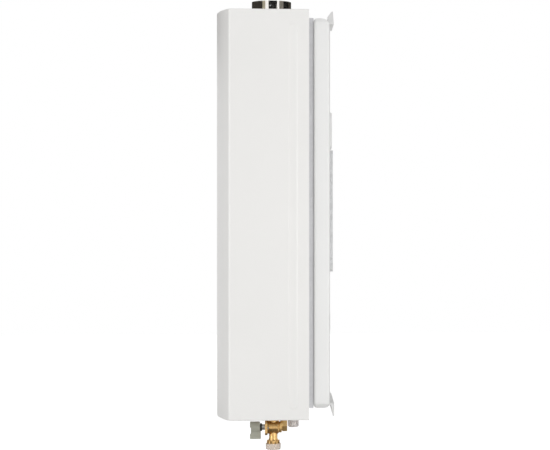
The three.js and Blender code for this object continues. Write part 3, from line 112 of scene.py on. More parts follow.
class NodeCraft:
    """Builds the node tree of one finish around a Principled shader."""

    COLOUR_FIRST, COLOUR_SECOND, COLOUR_RESULT = 6, 7, 2
    OPEN_LIGHT, DEEP_LIGHT = 0.9, 0.35

    def __init__(self, name: str) -> None:
        """Starts an empty material.

        Args:
            name: The material's name.
        """
        self.material = bpy.data.materials.new(name)
        self.material.use_nodes = True
        self.tree = self.material.node_tree
        self.tree.nodes.clear()
        self.output = self.tree.nodes.new("ShaderNodeOutputMaterial")
        self.shader = self.tree.nodes.new("ShaderNodeBsdfPrincipled")
        self.link(self.shader.outputs["BSDF"], self.output.inputs["Surface"])
        self.place = self.tree.nodes.new("ShaderNodeTexCoord").outputs["Object"]

    def link(self, source: bpy.types.NodeSocket, target: bpy.types.NodeSocket) -> None:
        """Joins an output to an input."""
        self.tree.links.new(source, target)

    def feed(self, value: object, target: bpy.types.NodeSocket) -> None:
        """Sets an input from a number, a colour or another node's output.

        Args:
            value: The output socket or the plain value.
            target: The input that takes it.
        """
        if isinstance(value, bpy.types.NodeSocket):
            self.link(value, target)
        else:
            target.default_value = value

    def set(self, **values: float | tuple[float, ...]) -> None:
        """Sets plain values on the shader's own inputs, an underscore standing for a space."""
        for key, value in values.items():
            self.shader.inputs[key.replace("_", " ")].default_value = value

    def stretched(self, scale: Point) -> bpy.types.NodeSocket:
        """Scales the object coordinates differently along each axis.

        Args:
            scale: The factor along X, Y and Z.

        Returns:
            The mapped coordinates.
        """
        node = self.tree.nodes.new("ShaderNodeMapping")
        node.inputs["Scale"].default_value = scale
        self.link(self.place, node.inputs["Vector"])
        return node.outputs["Vector"]

    def noise(
        self,
        scale: float,
        detail: float = 3.0,
        vector: bpy.types.NodeSocket | None = None,
        rough: float = 0.55,
    ) -> bpy.types.NodeSocket:
        """Adds a cloud pattern.

        Args:
            scale: Clouds per metre.
            detail: How many finer layers it has.
            vector: Coordinates other than the object's own.
            rough: How strong the finer layers are.

        Returns:
            The pattern's value, from 0 to 1.
        """
        node = self.tree.nodes.new("ShaderNodeTexNoise")
        node.inputs["Scale"].default_value = scale
        node.inputs["Detail"].default_value = detail
        node.inputs["Roughness"].default_value = rough
        self.link(vector or self.place, node.inputs["Vector"])
        return node.outputs["Fac"]

    def cells(
        self, scale: float, vector: bpy.types.NodeSocket | None = None, edges: bool = False
    ) -> bpy.types.NodeSocket:
        """Adds a pattern of cells.

        Args:
            scale: Cells per metre.
            vector: Coordinates other than the object's own.
            edges: True for the distance to a cell's edge, False for a random value per cell.

        Returns:
            The pattern's value.
        """
        node = self.tree.nodes.new("ShaderNodeTexVoronoi")
        node.feature = "DISTANCE_TO_EDGE" if edges else "F1"
        node.inputs["Scale"].default_value = scale
        self.link(vector or self.place, node.inputs["Vector"])
        if edges:
            return node.outputs["Distance"]
        split = self.tree.nodes.new("ShaderNodeSeparateColor")
        self.link(node.outputs["Color"], split.inputs["Color"])
        return split.outputs["Red"]

    def bands(self, scale: float, axis: str, waver: float = 0.6) -> bpy.types.NodeSocket:
        """Adds fine bands across an axis, as a lathe or a roller leaves them.

        Args:
            scale: Bands per metre, roughly.
            axis: X, Y or Z, the axis that the bands follow one another along.
            waver: How much the bands wander.

        Returns:
            The pattern's value, from 0 to 1.
        """
        node = self.tree.nodes.new("ShaderNodeTexWave")
        node.bands_direction = axis
        node.inputs["Scale"].default_value = scale / 3
        node.inputs["Distortion"].default_value = waver
        node.inputs["Detail"].default_value = 2.0
        node.inputs["Detail Scale"].default_value = 1.5
        self.link(self.place, node.inputs["Vector"])
        return node.outputs["Fac"]

    def span(self, value: bpy.types.NodeSocket, low: float, high: float) -> bpy.types.NodeSocket:
        """Maps the middle of a pattern's range to a range of values.

        Args:
            value: The pattern.
            low: The value where the pattern is low.
            high: The value where the pattern is high.

        Returns:
            The mapped value.
        """
        node = self.tree.nodes.new("ShaderNodeMapRange")
        node.inputs["From Min"].default_value = 0.25
        node.inputs["From Max"].default_value = 0.75
        node.inputs["To Min"].default_value = low
        node.inputs["To Max"].default_value = high
        self.link(value, node.inputs["Value"])
        return node.outputs["Result"]

    def cutoff(
        self, value: bpy.types.NodeSocket, start: float, end: float, high: float = 1.0
    ) -> bpy.types.NodeSocket:
        """Rises from 0 to a value while a pattern passes from start to end.

        Args:
            value: The pattern.
            start: Where the rise starts.
            end: Where it ends.
            high: The value that it reaches.

        Returns:
            The result.
        """
        node = self.tree.nodes.new("ShaderNodeMapRange")
        node.inputs["From Min"].default_value = start
        node.inputs["From Max"].default_value = end
        node.inputs["To Max"].default_value = high
        self.link(value, node.inputs["Value"])
        return node.outputs["Result"]

    def mixed(
        self, share: bpy.types.NodeSocket | float, first: object, second: object
    ) -> bpy.types.NodeSocket:
        """Mixes two colours.

        Args:
            share: How much of the second one there is.
            first: A colour or an output.
            second: A colour or an output.

        Returns:
            The mixed colour.
        """
        node = self.tree.nodes.new("ShaderNodeMix")
        node.data_type = "RGBA"
        self.feed(share, node.inputs["Factor"])
        self.feed(first, node.inputs[self.COLOUR_FIRST])
        self.feed(second, node.inputs[self.COLOUR_SECOND])
        return node.outputs[self.COLOUR_RESULT]

    def summed(self, *values: bpy.types.NodeSocket) -> bpy.types.NodeSocket:
        """Adds values together.

        Args:
            values: The outputs to add, at least one.

        Returns:
            Their sum.
        """
        total = values[0]
        for value in values[1:]:
            node = self.tree.nodes.new("ShaderNodeMath")
            node.operation = "ADD"
            self.link(total, node.inputs[0])
            self.link(value, node.inputs[1])
            total = node.outputs[0]
        return total

    def painted_shade_mask(self, reach: float, high: float = 1.0) -> bpy.types.NodeSocket:
        """Rises from 0 on open faces to a value deep in grooves and corners, where shade falls, as a
        mask for painted shade.

        Args:
            reach: How far away a facing surface still counts, in metres.
            high: The value that the deepest places reach.

        Returns:
            The result.
        """
        node = self.tree.nodes.new("ShaderNodeAmbientOcclusion")
        node.samples = 6
        node.only_local = True
        node.inputs["Distance"].default_value = reach
        return self.cutoff(node.outputs["AO"], self.OPEN_LIGHT, self.DEEP_LIGHT, high)

    def relief(
        self,
        height: bpy.types.NodeSocket,
        depth: float,
        strength: float = 1.0,
        under: bpy.types.NodeSocket | None = None,
    ) -> bpy.types.NodeSocket:
        """Raises the surface by a pattern.

        Args:
            height: The pattern.
            depth: How high it stands, in metres.
            strength: How much of it shows.
            under: A normal that it comes on top of.

        Returns:
            The new normal.
        """
        node = self.tree.nodes.new("ShaderNodeBump")
        node.inputs["Strength"].default_value = strength
        node.inputs["Distance"].default_value = depth
        self.link(height, node.inputs["Height"])
        if under:
            self.link(under, node.inputs["Normal"])
        return node.outputs["Normal"]

    def dress(
        self,
        colour: bpy.types.NodeSocket,
        roughness: bpy.types.NodeSocket,
        normal: bpy.types.NodeSocket | None = None,
    ) -> bpy.types.Material:
        """Joins the patterns to the shader.

        Args:
            colour: The base colour.
            roughness: The roughness.
            normal: The surface relief.

        Returns:
            The finished material.
        """
        self.link(colour, self.shader.inputs["Base Color"])
        self.link(roughness, self.shader.inputs["Roughness"])
        if normal:
            self.link(normal, self.shader.inputs["Normal"])
        return self.material


# Finishes


@dataclass(frozen=True)
class Finish:
    """A named finish with its main colour, as a screen shows it from 0 to 255."""

    name: str
    colour: tuple[int, int, int]

    def shade(self, share: float) -> tuple[float, float, float, float]:
        """Returns the main colour made darker or lighter by a factor."""
        red, green, blue, alpha = linear(self.colour)
        return (min(red * share, 1.0), min(green * share, 1.0), min(blue * share, 1.0), alpha)

    def toned(
        self, craft: NodeCraft, pattern: bpy.types.NodeSocket, low: float, high: float
    ) -> bpy.types.NodeSocket:
        """Runs the main colour between two shades along a pattern.

        Args:
            craft: The node tree in the making.
            pattern: The pattern.
            low: The factor on the colour where the pattern is low.
            high: The factor where it is high.

        Returns:
            The colour.
        """
        return craft.mixed(craft.span(pattern, 0.0, 1.0), self.shade(low), self.shade(high))

    def make(self) -> bpy.types.Material:
        """Builds the material."""
        raise NotImplementedError


@dataclass(frozen=True)
class PowderCoat(Finish):
    """Baked powder paint: a faint orange peel, dust specks and a satin gloss."""

    peel_per_metre: float = 420.0
    peel_depth: float = 0.00005
    gloss: float = 0.38

    def make(self) -> bpy.types.Material:
        """Builds the material.

        Returns:
            The material.
        """
        craft = NodeCraft(self.name)
        cloud = craft.noise(7.0, 4.0)
        speck = craft.cutoff(craft.noise(900.0, 2.0), 0.70, 0.78)
        colour = self.toned(craft, cloud, 0.985, 1.012)
        colour = craft.mixed(speck, colour, self.shade(0.93))
        peel = craft.noise(self.peel_per_metre, 2.0, rough=0.4)
        sheet = craft.noise(5.0, 1.0)
        wave = craft.relief(sheet, 0.0006, 0.5)
        normal = craft.relief(peel, self.peel_depth, 0.6, wave)
        craft.set(Specular_IOR_Level=0.45, Coat_Weight=0.12, Coat_Roughness=0.25)
        rough = craft.span(craft.noise(60.0, 3.0), self.gloss - 0.03, self.gloss + 0.05)
        return craft.dress(colour, rough, normal)


@dataclass(frozen=True)
class SpangledZinc(Finish):
    """Galvanised sheet: crystals of slightly different grey under a dull bloom.

    The spangle is how far a crystal's shade may lie from the main colour, as a share of it.
    """

    spangles_per_metre: float = 190.0
    metal: float = 0.75
    spangle: float = 0.13

    def make(self) -> bpy.types.Material:
        """Builds the material.

        Returns:
            The material.
        """
        craft = NodeCraft(self.name)
        crystal = craft.cells(self.spangles_per_metre)
        fine = craft.cells(self.spangles_per_metre * 2.7)
        bloom = craft.noise(30.0, 5.0)
        colour = craft.mixed(crystal, self.shade(1 - self.spangle), self.shade(1 + self.spangle))
        dull, dusty = 1 - 0.6 * self.spangle, 1 + 1.9 * self.spangle
        colour = craft.mixed(craft.span(fine, 0.0, 0.35), colour, self.shade(dull))
        colour = craft.mixed(craft.span(bloom, 0.0, 0.25), colour, self.shade(dusty))
        rolled = craft.noise(1.0, 2.0, craft.stretched((1500.0, 1500.0, 18.0)))
        normal = craft.relief(rolled, 0.00002, 0.5)
        craft.set(Metallic=self.metal, Specular_IOR_Level=0.5)
        rough = craft.summed(craft.span(crystal, 0.30, 0.42), craft.span(bloom, 0.0, 0.08))
        return craft.dress(colour, rough, normal)


@dataclass(frozen=True)
class TurnedMetal(Finish):
    """Metal off a lathe: fine rings along one axis, smudges and a little tarnish."""

    tarnish: tuple[int, int, int] = (96, 74, 40)
    axis: str = "Z"
    rings_per_metre: float = 2600.0
    polish: float = 0.22
    tarnish_share: float = 0.45
    ring_depth: float = 0.00002

    def make(self) -> bpy.types.Material:
        """Builds the material.

        Returns:
            The material.
        """
        craft = NodeCraft(self.name)
        rings = craft.bands(self.rings_per_metre, self.axis, 1.2)
        cloud = craft.noise(170.0, 5.0, rough=0.6)
        stain = craft.cutoff(craft.noise(75.0, 4.0), 0.50, 0.74, self.tarnish_share)
        colour = self.toned(craft, cloud, 0.88, 1.08)
        colour = craft.mixed(stain, colour, linear(self.tarnish))
        normal = craft.relief(rings, self.ring_depth, 0.5)
        normal = craft.relief(cloud, 0.00004, 0.35, normal)
        craft.set(Metallic=1.0)
        rough = craft.summed(
            craft.span(cloud, self.polish - 0.05, self.polish + 0.07), craft.span(rings, 0.0, 0.05)
        )
        return craft.dress(colour, rough, normal)


@dataclass(frozen=True)
class CastMetal(Finish):
    """Cast or blasted metal: a grainy skin that shines only on its high points, with painted shade
    darkening its grooves and corners where a share is given.
    """

    tarnish: tuple[int, int, int] = (88, 62, 34)
    grain_per_metre: float = 900.0
    polish: float = 0.36
    tarnish_share: float = 0.5
    painted_crevice_shade: float = 0.0
    coarseness: float = 0.7

    def make(self) -> bpy.types.Material:
        """Builds the material.

        Returns:
            The material.
        """
        craft = NodeCraft(self.name)
        grain = craft.noise(self.grain_per_metre, 4.0, rough=0.65)
        cloud = craft.noise(110.0, 4.0)
        pits = craft.cutoff(craft.noise(420.0, 3.0), 0.46, 0.68, self.tarnish_share)
        colour = self.toned(craft, cloud, 0.84, 1.1)
        colour = craft.mixed(pits, colour, linear(self.tarnish))
        # Painted shade: grooves and corners found by occlusion are darkened towards near black.
        if self.painted_crevice_shade > 0:
            colour = craft.mixed(craft.painted_shade_mask(0.0025, self.painted_crevice_shade), colour, self.shade(0.12))
        normal = craft.relief(grain, 0.00009, self.coarseness)
        normal = craft.relief(cloud, 0.0003, self.coarseness / 2, normal)
        craft.set(Metallic=1.0)
        rough = craft.summed(
            craft.span(grain, self.polish - 0.06, self.polish + 0.1), craft.span(cloud, 0.0, 0.06)
        )
        return craft.dress(colour, rough, normal)


@dataclass(frozen=True)
class MirrorSteel(Finish):
    """Bright annealed stainless: draw lines along the tube, smears and a few fine scratches."""

    polish: float = 0.07

    def make(self) -> bpy.types.Material:
        """Builds the material.

        Returns:
            The material.
        """
        craft = NodeCraft(self.name)
        drawn = craft.noise(1.0, 3.0, craft.stretched((900.0, 900.0, 22.0)))
        smear = craft.noise(42.0, 4.0)
        dents = craft.noise(55.0, 1.0, craft.stretched((1.0, 1.0, 0.35)))
        colour = self.toned(craft, smear, 0.93, 1.05)
        colour = craft.mixed(craft.cutoff(drawn, 0.62, 0.8, 0.3), colour, self.shade(0.72))
        normal = craft.relief(dents, 0.0003, 0.08)
        normal = craft.relief(drawn, 0.000012, 0.15, normal)
        craft.set(Metallic=1.0)
        rough = craft.summed(
            craft.span(smear, self.polish - 0.03, self.polish + 0.05), craft.span(drawn, 0.0, 0.05)
        )
        return craft.dress(colour, rough, normal)


@dataclass(frozen=True)
class MouldedPlastic(Finish):
    """Moulded plastic: spark eroded grain, flow marks, dust and handling gloss."""

    grain_per_metre: float = 1500.0
    grain_depth: float = 0.00006
    gloss: float = 0.48
    dust: float = 0.25

    def make(self) -> bpy.types.Material:
        """Builds the material.

        Returns:
            The material.
        """
        craft = NodeCraft(self.name)
        grain = craft.noise(self.grain_per_metre, 3.0)
        flow = craft.noise(1.0, 3.0, craft.stretched((45.0, 90.0, 45.0)))
        dust = craft.cutoff(craft.noise(700.0, 3.0), 0.58, 0.76, self.dust)
        colour = self.toned(craft, flow, 0.91, 1.07)
        colour = craft.mixed(dust, colour, self.shade(1.35))
        normal = craft.relief(grain, self.grain_depth, 0.6)
        craft.set(Specular_IOR_Level=0.5)
        rough = craft.span(craft.noise(130.0, 4.0), self.gloss - 0.06, self.gloss + 0.07)
        return craft.dress(colour, rough, normal)


@dataclass(frozen=True)
class MilkyPlastic(Finish):
    """Translucent polythene: light passes through it softened, with pale flow clouds."""

    passes: float = 0.55
    gloss: float = 0.3
    index: float = 1.45

    def make(self) -> bpy.types.Material:
        """Builds the material.

        Returns:
            The material.
        """
        craft = NodeCraft(self.name)
        cloud = craft.noise(160.0, 4.0)
        scuff = craft.cutoff(craft.noise(520.0, 3.0), 0.56, 0.72, 0.5)
        colour = self.toned(craft, cloud, 0.93, 1.04)
        colour = craft.mixed(scuff, colour, self.shade(1.12))
        normal = craft.relief(cloud, 0.00025, 0.25)
        normal = craft.relief(craft.noise(800.0, 2.0), 0.00002, 0.3, normal)
        craft.set(
            Transmission_Weight=self.passes,
            IOR=self.index,
            Subsurface_Weight=0.0,
            Specular_IOR_Level=0.5,
        )
        worn = craft.cutoff(scuff, 0.0, 1.0, 0.2)
        rough = craft.summed(craft.span(cloud, self.gloss - 0.08, self.gloss + 0.08), worn)
        return craft.dress(colour, rough, normal)


@dataclass(frozen=True)
class MouldedRubber(Finish):
    """Black rubber with a talc bloom and a matt skin."""

    def make(self) -> bpy.types.Material:
        """Builds the material.

        Returns:
            The material.
        """
        craft = NodeCraft(self.name)
        bloom = craft.noise(90.0, 5.0)
        grain = craft.noise(1300.0, 3.0)
        colour = craft.mixed(craft.span(bloom, 0.0, 0.5), self.shade(0.8), self.shade(1.9))
        normal = craft.relief(grain, 0.00008, 0.7)
        craft.set(Specular_IOR_Level=0.35, Sheen_Weight=0.08, Sheen_Roughness=0.5)
        return craft.dress(colour, craft.span(bloom, 0.68, 0.86), normal)


@dataclass(frozen=True)
class GlazedCeramic(Finish):
    """Fired ceramic with a thin glaze and pin holes."""

    def make(self) -> bpy.types.Material:
        """Builds the material.

        Returns:
            The material.
        """
        craft = NodeCraft(self.name)
        cloud = craft.noise(140.0, 3.0)
        pin = craft.cutoff(craft.noise(1100.0, 2.0), 0.66, 0.74, 0.6)
        colour = self.toned(craft, cloud, 0.94, 1.04)
        colour = craft.mixed(pin, colour, self.shade(0.6))
        craft.set(Specular_IOR_Level=0.5, Coat_Weight=0.5, Coat_Roughness=0.1)
        return craft.dress(colour, craft.span(cloud, 0.28, 0.42), craft.relief(pin, 0.00006))


@dataclass(frozen=True)
class PrintedBoard(Finish):
    """A circuit board: lacquer over paler copper tracks, with tinned pads."""

    def make(self) -> bpy.types.Material:
        """Builds the material.

        Returns:
            The material.
        """
        craft = NodeCraft(self.name)
        track = craft.cutoff(craft.cells(210.0, craft.stretched((1.0, 0.02, 1.0)), True), 0.10, 0.07)
        pad = craft.cutoff(craft.cells(520.0, None, True), 0.36, 0.40)
        colour = craft.mixed(track, self.shade(0.8), self.shade(1.7))
        colour = craft.mixed(pad, colour, linear((176, 178, 172)))
        normal = craft.relief(craft.summed(track, pad), 0.00005)
        craft.set(Specular_IOR_Level=0.5, Coat_Weight=0.4, Coat_Roughness=0.15)
        return craft.dress(colour, craft.span(craft.noise(90.0), 0.3, 0.45), normal)


@dataclass(frozen=True)
class SmokedWindow(Finish):
    """A glossy dark window with fingerprints and hair scratches."""

    def make(self) -> bpy.types.Material:
        """Builds the material.

        Returns:
            The material.
        """
        craft = NodeCraft(self.name)
        print_cloud = craft.noise(60.0, 5.0)
        hair = craft.noise(1.0, 2.0, craft.stretched((60.0, 60.0, 2400.0)))
        colour = self.toned(craft, print_cloud, 0.8, 1.6)
        craft.set(Specular_IOR_Level=0.55, Coat_Weight=0.9, Coat_Roughness=0.03)
        rough = craft.summed(
            craft.cutoff(print_cloud, 0.35, 0.8, 0.16), craft.cutoff(hair, 0.6, 0.75, 0.12)
        )
        return craft.dress(colour, rough, craft.relief(hair, 0.000006, 0.4))


@dataclass(frozen=True)
class FlagCloth(Finish):
    """Cloth of a studio flag, from near black to beige, with a faint weave."""

    def make(self) -> bpy.types.Material:
        """Builds the material.

        Returns:
            The material.
        """
        craft = NodeCraft(self.name)
        weave = craft.noise(300.0, 3.0)
        colour = self.toned(craft, weave, 0.9, 1.1)
        craft.set(Specular_IOR_Level=0.1)
        return craft.dress(colour, craft.span(weave, 0.85, 0.95))


@dataclass(frozen=True)
class GlowPanel(Finish):
    """A lit panel, slightly uneven, that gives a bright line to what mirrors it."""

    strength: float = 1.0

    def make(self) -> bpy.types.Material:
        """Builds the material.

        Returns:
            The material.
        """
        craft = NodeCraft(self.name)
        cloth = craft.noise(9.0, 2.0)
        colour = self.toned(craft, cloth, 0.95, 1.0)
        craft.set(Emission_Strength=self.strength)
        craft.link(colour, craft.shader.inputs["Emission Color"])
        return craft.dress(colour, craft.span(cloth, 0.85, 0.95))


@dataclass(frozen=True)
class StudioPaper(Finish):
    """Pale studio floor that shows white behind the object and keeps its shadow."""

    lift: float = 0.55

    def make(self) -> bpy.types.Material:
        """Builds the material.

        Returns:
            The material.
        """
        craft = NodeCraft(self.name)
        paper = craft.noise(40.0, 4.0)
        colour = self.toned(craft, paper, 0.99, 1.0)
        material = craft.dress(colour, craft.span(paper, 0.8, 0.9))
        glow = craft.tree.nodes.new("ShaderNodeEmission")
        rays = craft.tree.nodes.new("ShaderNodeLightPath")
        both = craft.tree.nodes.new("ShaderNodeAddShader")
        seen = craft.summed(
            rays.outputs["Is Camera Ray"],
            rays.outputs["Is Glossy Ray"],
            rays.outputs["Is Transmission Ray"],
        )
        craft.link(craft.cutoff(seen, 0.0, 1.0, self.lift), glow.inputs["Strength"])
        craft.link(craft.shader.outputs["BSDF"], both.inputs[0])
        craft.link(glow.outputs["Emission"], both.inputs[1])
        craft.link(both.outputs["Shader"], craft.output.inputs["Surface"])
        return material


class Finishes:
    """Every finish of the heater, each made once when it is first asked for.

    SLOTS pairs a finish with another finish's name.
    """

    RECIPES: dict[str, Finish] = {
        finish.name: finish
        for finish in (
            PowderCoat("cover_paint", (237, 236, 234)),
            PowderCoat("pan_paint", (236, 236, 235)),
            PowderCoat("bracket_paint", (232, 232, 231), gloss=0.42),
            SpangledZinc("chassis_galvanised", (204, 204, 207), metal=0.3, spangle=0.05),
            SpangledZinc("strip_galvanised", (192, 193, 194)),
            SpangledZinc("inner_galvanised", (188, 190, 192)),
            MirrorSteel("flue_stainless", (248, 245, 240), polish=0.06),
            TurnedMetal("screw_steel", (184, 187, 190), (120, 120, 118), polish=0.3),
            TurnedMetal("stem_steel", (200, 203, 206), (140, 140, 138), axis="Y", polish=0.16),
            # The valve casting's brass carries painted shade in its grooves and corners.
            CastMetal(
                "valve_brass",
                (222, 182, 121),
                (148, 108, 64),
                polish=0.27,
                tarnish_share=0.35,
                painted_crevice_shade=0.95,
                coarseness=0.35,
            ),
            CastMetal("nut_brass", (250, 212, 146), (176, 132, 82), polish=0.42, tarnish_share=0.2),
            TurnedMetal("fitting_brass", (218, 176, 108), axis="Z"),
            TurnedMetal("copper", (196, 126, 92), (110, 66, 48), polish=0.3),
            TurnedMetal("tinned_copper", (176, 166, 154), (130, 104, 84), polish=0.38),
            CastMetal("cast_aluminium", (164, 166, 168), (118, 118, 118), polish=0.45),
            MouldedPlastic("knob_plastic", (164, 164, 151)),
            MouldedPlastic("ring_plastic", (58, 57, 50), dust=0.15),
            MouldedPlastic("button_plastic", (196, 196, 194), gloss=0.36),
            SmokedWindow("display_gloss", (22, 23, 26)),
            MouldedPlastic("black_plastic", (34, 34, 36), gloss=0.42),
            MilkyPlastic("clear_cap", (253, 241, 230), 0.45, 0.24),
            MilkyPlastic("clear_plug", (244, 239, 237), 0.55, 0.18),
            MouldedRubber("seal_rubber", (40, 40, 40)),
            GlazedCeramic("ceramic", (228, 224, 214)),
            PrintedBoard("circuit_board", (42, 104, 62)),
            StudioPaper("studio_paper", (246, 246, 245)),
            FlagCloth("flag_black", (22, 21, 20)),
            FlagCloth("flag_umber", (66, 62, 57)),
            FlagCloth("flag_grey", (149, 144, 137)),
            FlagCloth("flag_beige", (228, 220, 196)),
            GlowPanel("glow_panel", (255, 255, 255), 4.5),
        )
    }
    SLOTS: dict[str, str] = {"nut_brass": "valve_brass"}
    made: dict[str, bpy.types.Material] = {}

    @classmethod
    def get(cls, name: str) -> bpy.types.Material:
        """Gives the material of a name.

        Args:
            name: The name of the finish.

        Returns:
            The material.
        """
        if name not in cls.made:
            cls.made[name] = cls.RECIPES[name].make()
        return cls.made[name]


# Shapes


class Form:
    """A shape in the making: a bmesh with the few operators that the heater's pieces need."""

    HOLE_MARGIN = 1.5

    def __init__(self) -> None:
        """Starts empty."""
        self.bm = bmesh.new()

    def turned(self, profile: Sequence[tuple[float, float]], steps: int = 48) -> "Form":
        """Spins a profile round Z.

        Args:
            profile: Radius and height of each corner in millimetres, from one end to the other.
            steps: How many facets the turn has.

        Returns:
            This form.
        """
        verts = [self.bm.verts.new((r * MM, 0.0, z * MM)) for r, z in profile]
        edges = [self.bm.edges.new(pair) for pair in zip(verts, verts[1:])]
        bmesh.ops.spin(
            self.bm,
            geom=verts + edges,
            cent=(0.0, 0.0, 0.0),
            axis=(0.0, 0.0, 1.0),
            dvec=(0.0, 0.0, 0.0),
            angle=math.tau,
            steps=steps,
            use_merge=True,
            use_duplicate=False,
        )
        return self.welded()

    def welded(self, reach: float = TURN_WELD) -> "Form":
        """Merges doubled corners and turns every face outwards.

        Args:
            reach: How close two corners are that become one, in metres.

        Returns:
            This form.
        """
        bmesh.ops.remove_doubles(self.bm, verts=self.bm.verts[:], dist=reach)
        bmesh.ops.recalc_face_normals(self.bm, faces=self.bm.faces[:])
        return self

    def plate(
        self,
        corners: Sequence[tuple[float, float]],
        radii: Sequence[float],
        thickness: float,
        segments: int = 6,
    ) -> "Form":
        """Raises a plate with rounded corners from the XY plane.

        Args:
            corners: The corners in millimetres.
            radii: How far from each corner its rounding starts, in millimetres.
            thickness: How far it is raised along +Z, in millimetres.
            segments: How many facets each rounded corner has.

        Returns:
            This form.
        """
        verts = [self.bm.verts.new((x * MM, y * MM, 0.0)) for x, y in corners]
        self.bm.faces.new(verts)
        for vert, radius in zip(verts, radii):
            if radius > 0:
                bmesh.ops.bevel(
                    self.bm,
                    geom=[vert],
                    offset=radius * MM,
                    offset_type="OFFSET",
                    segments=segments,
                    profile=0.5,
                    affect="VERTICES",
                    clamp_overlap=True,
                    material=-1,
                )
        self.bm.faces.ensure_lookup_table()
        self.raised(list(self.bm.faces), Vector((0.0, 0.0, thickness * MM)), True)
        bmesh.ops.recalc_face_normals(self.bm, faces=self.bm.faces[:])
        return self

    def box(self, low: Sequence[float], high: Sequence[float]) -> "Form":
        """Makes a block.

        Args:
            low: Its corner with the lowest X, Y and Z, in millimetres.
            high: Its opposite corner, in millimetres.

        Returns:
            This form.
        """
        size = [(b - a) * MM for a, b in zip(low, high)]
        middle = Vector([(a + b) / 2 * MM for a, b in zip(low, high)])
        matrix = Matrix.Translation(middle) @ Matrix.Diagonal((*size, 1.0))
        bmesh.ops.create_cube(self.bm, size=1.0, matrix=matrix)
        return self

    def raised(
        self, faces: list[bmesh.types.BMFace], shift: Vector, keep: bool = False
    ) -> list[bmesh.types.BMFace]:
        """Extrudes faces.

        Args:
            faces: The faces that move.
            shift: How far they move, in metres.
            keep: True to leave a copy behind, as a flat face that becomes a body needs.

        Returns:
            The moved faces.
        """
        made = bmesh.ops.extrude_face_region(self.bm, geom=faces, use_keep_orig=keep)["geom"]
        verts = [g for g in made if isinstance(g, bmesh.types.BMVert)]
        bmesh.ops.translate(self.bm, verts=verts, vec=shift)
        return [g for g in made if isinstance(g, bmesh.types.BMFace)]

    def rounded(
        self, width: float, segments: int = 3, angle: float = 40.0, edges: Iterable | None = None
    ) -> "Form":
        """Rounds sharp edges.

        Args:
            width: The rounding in millimetres.
            segments: How many facets it has.
            angle: Only edges that turn by more than this are rounded, in degrees.
            edges: The edges to look at, or all.

        Returns:
            This form.
        """
        limit = math.radians(angle)
        sharp = [
            edge
            for edge in (self.bm.edges if edges is None else edges)
            if len(edge.link_faces) == 2 and edge.calc_face_angle(0.0) > limit
        ]
        bmesh.ops.bevel(
            self.bm,
            geom=sharp,
            offset=width * MM,
            offset_type="OFFSET",
            segments=segments,
            profile=0.5,
            affect="EDGES",
            clamp_overlap=True,
            material=-1,
        )
        return self

    def face_at(self, point: Vector, normal: Vector) -> bmesh.types.BMFace:
        """Finds the flat face under a point.

        Args:
            point: A point on it, in metres.
            normal: The way that it faces.

        Returns:
            The face.
        """
        self.bm.normal_update()
        fits = [
            face
            for face in self.bm.faces
            if face.normal.dot(normal) > 0.999
            and abs((face.verts[0].co - point).dot(normal)) < 1e-5
            and bmesh.geometry.intersect_face_point(face, point)
        ]
        return min(fits, key=lambda face: face.calc_area())

    def window(
        self,
        centre: Sequence[float],
        facing: Facing,
        across: Facing,
        half: tuple[float, float],
        radius: float,
        segments: int = 8,
    ) -> list[bmesh.types.BMEdge]:
        """Opens a round cornered hole in a flat face.

        Args:
            centre: Its middle in millimetres.
            facing: The way that the face looks.
            across: The direction of the hole's first size.
            half: Half its size along that direction, and at right angles to it, in millimetres.
            radius: The radius of its corners in millimetres.
            segments: How many facets each corner has.

        Returns:
            The edges of the rim.
        """
        point = Vector(centre) * MM
        normal = Vector(facing.value)
        first = Vector(across.value)
        second = normal.cross(first)
        margin = self.HOLE_MARGIN * MM
        for way, reach in ((first, half[0]), (second, half[1])):
            for sign in (-1.0, 1.0):
                face = self.face_at(point, normal)
                geometry = [face, *face.edges, *face.verts]
                bmesh.ops.bisect_plane(
                    self.bm,
                    geom=geometry,
                    dist=FINE_WELD,
                    plane_co=point + way * sign * (reach * MM + margin),
                    plane_no=way,
                )
        face = self.face_at(point, normal)
        outer = list(face.edges)
        bmesh.ops.delete(self.bm, geom=[face], context="FACES_ONLY")
        count = 4 * segments
        ring = bmesh.ops.create_circle(self.bm, cap_ends=False, radius=radius * MM, segments=count)
        step = math.pi / count
        basis = Matrix((first, second, normal)).transposed().to_4x4()
        shift = ((half[0] - radius) * MM, (half[1] - radius) * MM)
        bmesh.ops.rotate(
            self.bm, verts=ring["verts"], cent=(0, 0, 0), matrix=Matrix.Rotation(step, 3, "Z")
        )
        for vert in ring["verts"]:
            vert.co.x += math.copysign(shift[0], vert.co.x)
            vert.co.y += math.copysign(shift[1], vert.co.y)
        bmesh.ops.transform(
            self.bm, matrix=Matrix.Translation(point) @ basis, verts=ring["verts"]
        )
        rim = list({edge for vert in ring["verts"] for edge in vert.link_edges})
        bmesh.ops.triangle_fill(
            self.bm, use_beauty=True, use_dissolve=False, edges=outer + rim, normal=normal
        )
        return rim

    def filled(self, rim: list[bmesh.types.BMEdge]) -> bmesh.types.BMFace:
        """Closes a rim with one face and returns it."""
        return bmesh.ops.contextual_create(self.bm, geom=rim)["faces"][0]

    def swelled(
        self, face: bmesh.types.BMFace, run: float, rise: float, steps: int = 6
    ) -> bmesh.types.BMFace:
        """Presses a face outwards, or inwards, with a soft shoulder all round.

        Args:
            face: The face.
            run: The shoulder's width in millimetres.
            rise: How far it comes out in millimetres.
            steps: How many facets the shoulder has.

        Returns:
            The face on top.
        """
        before = 0.0
        for step in range(1, steps + 1):
            share = (1 - math.cos(math.pi * step / steps)) / 2
            bmesh.ops.inset_region(
                self.bm,
                faces=[face],
                thickness=run / steps * MM,
                depth=(share - before) * rise * MM,
                use_even_offset=True,
                use_boundary=True,
            )
            before = share
        return face

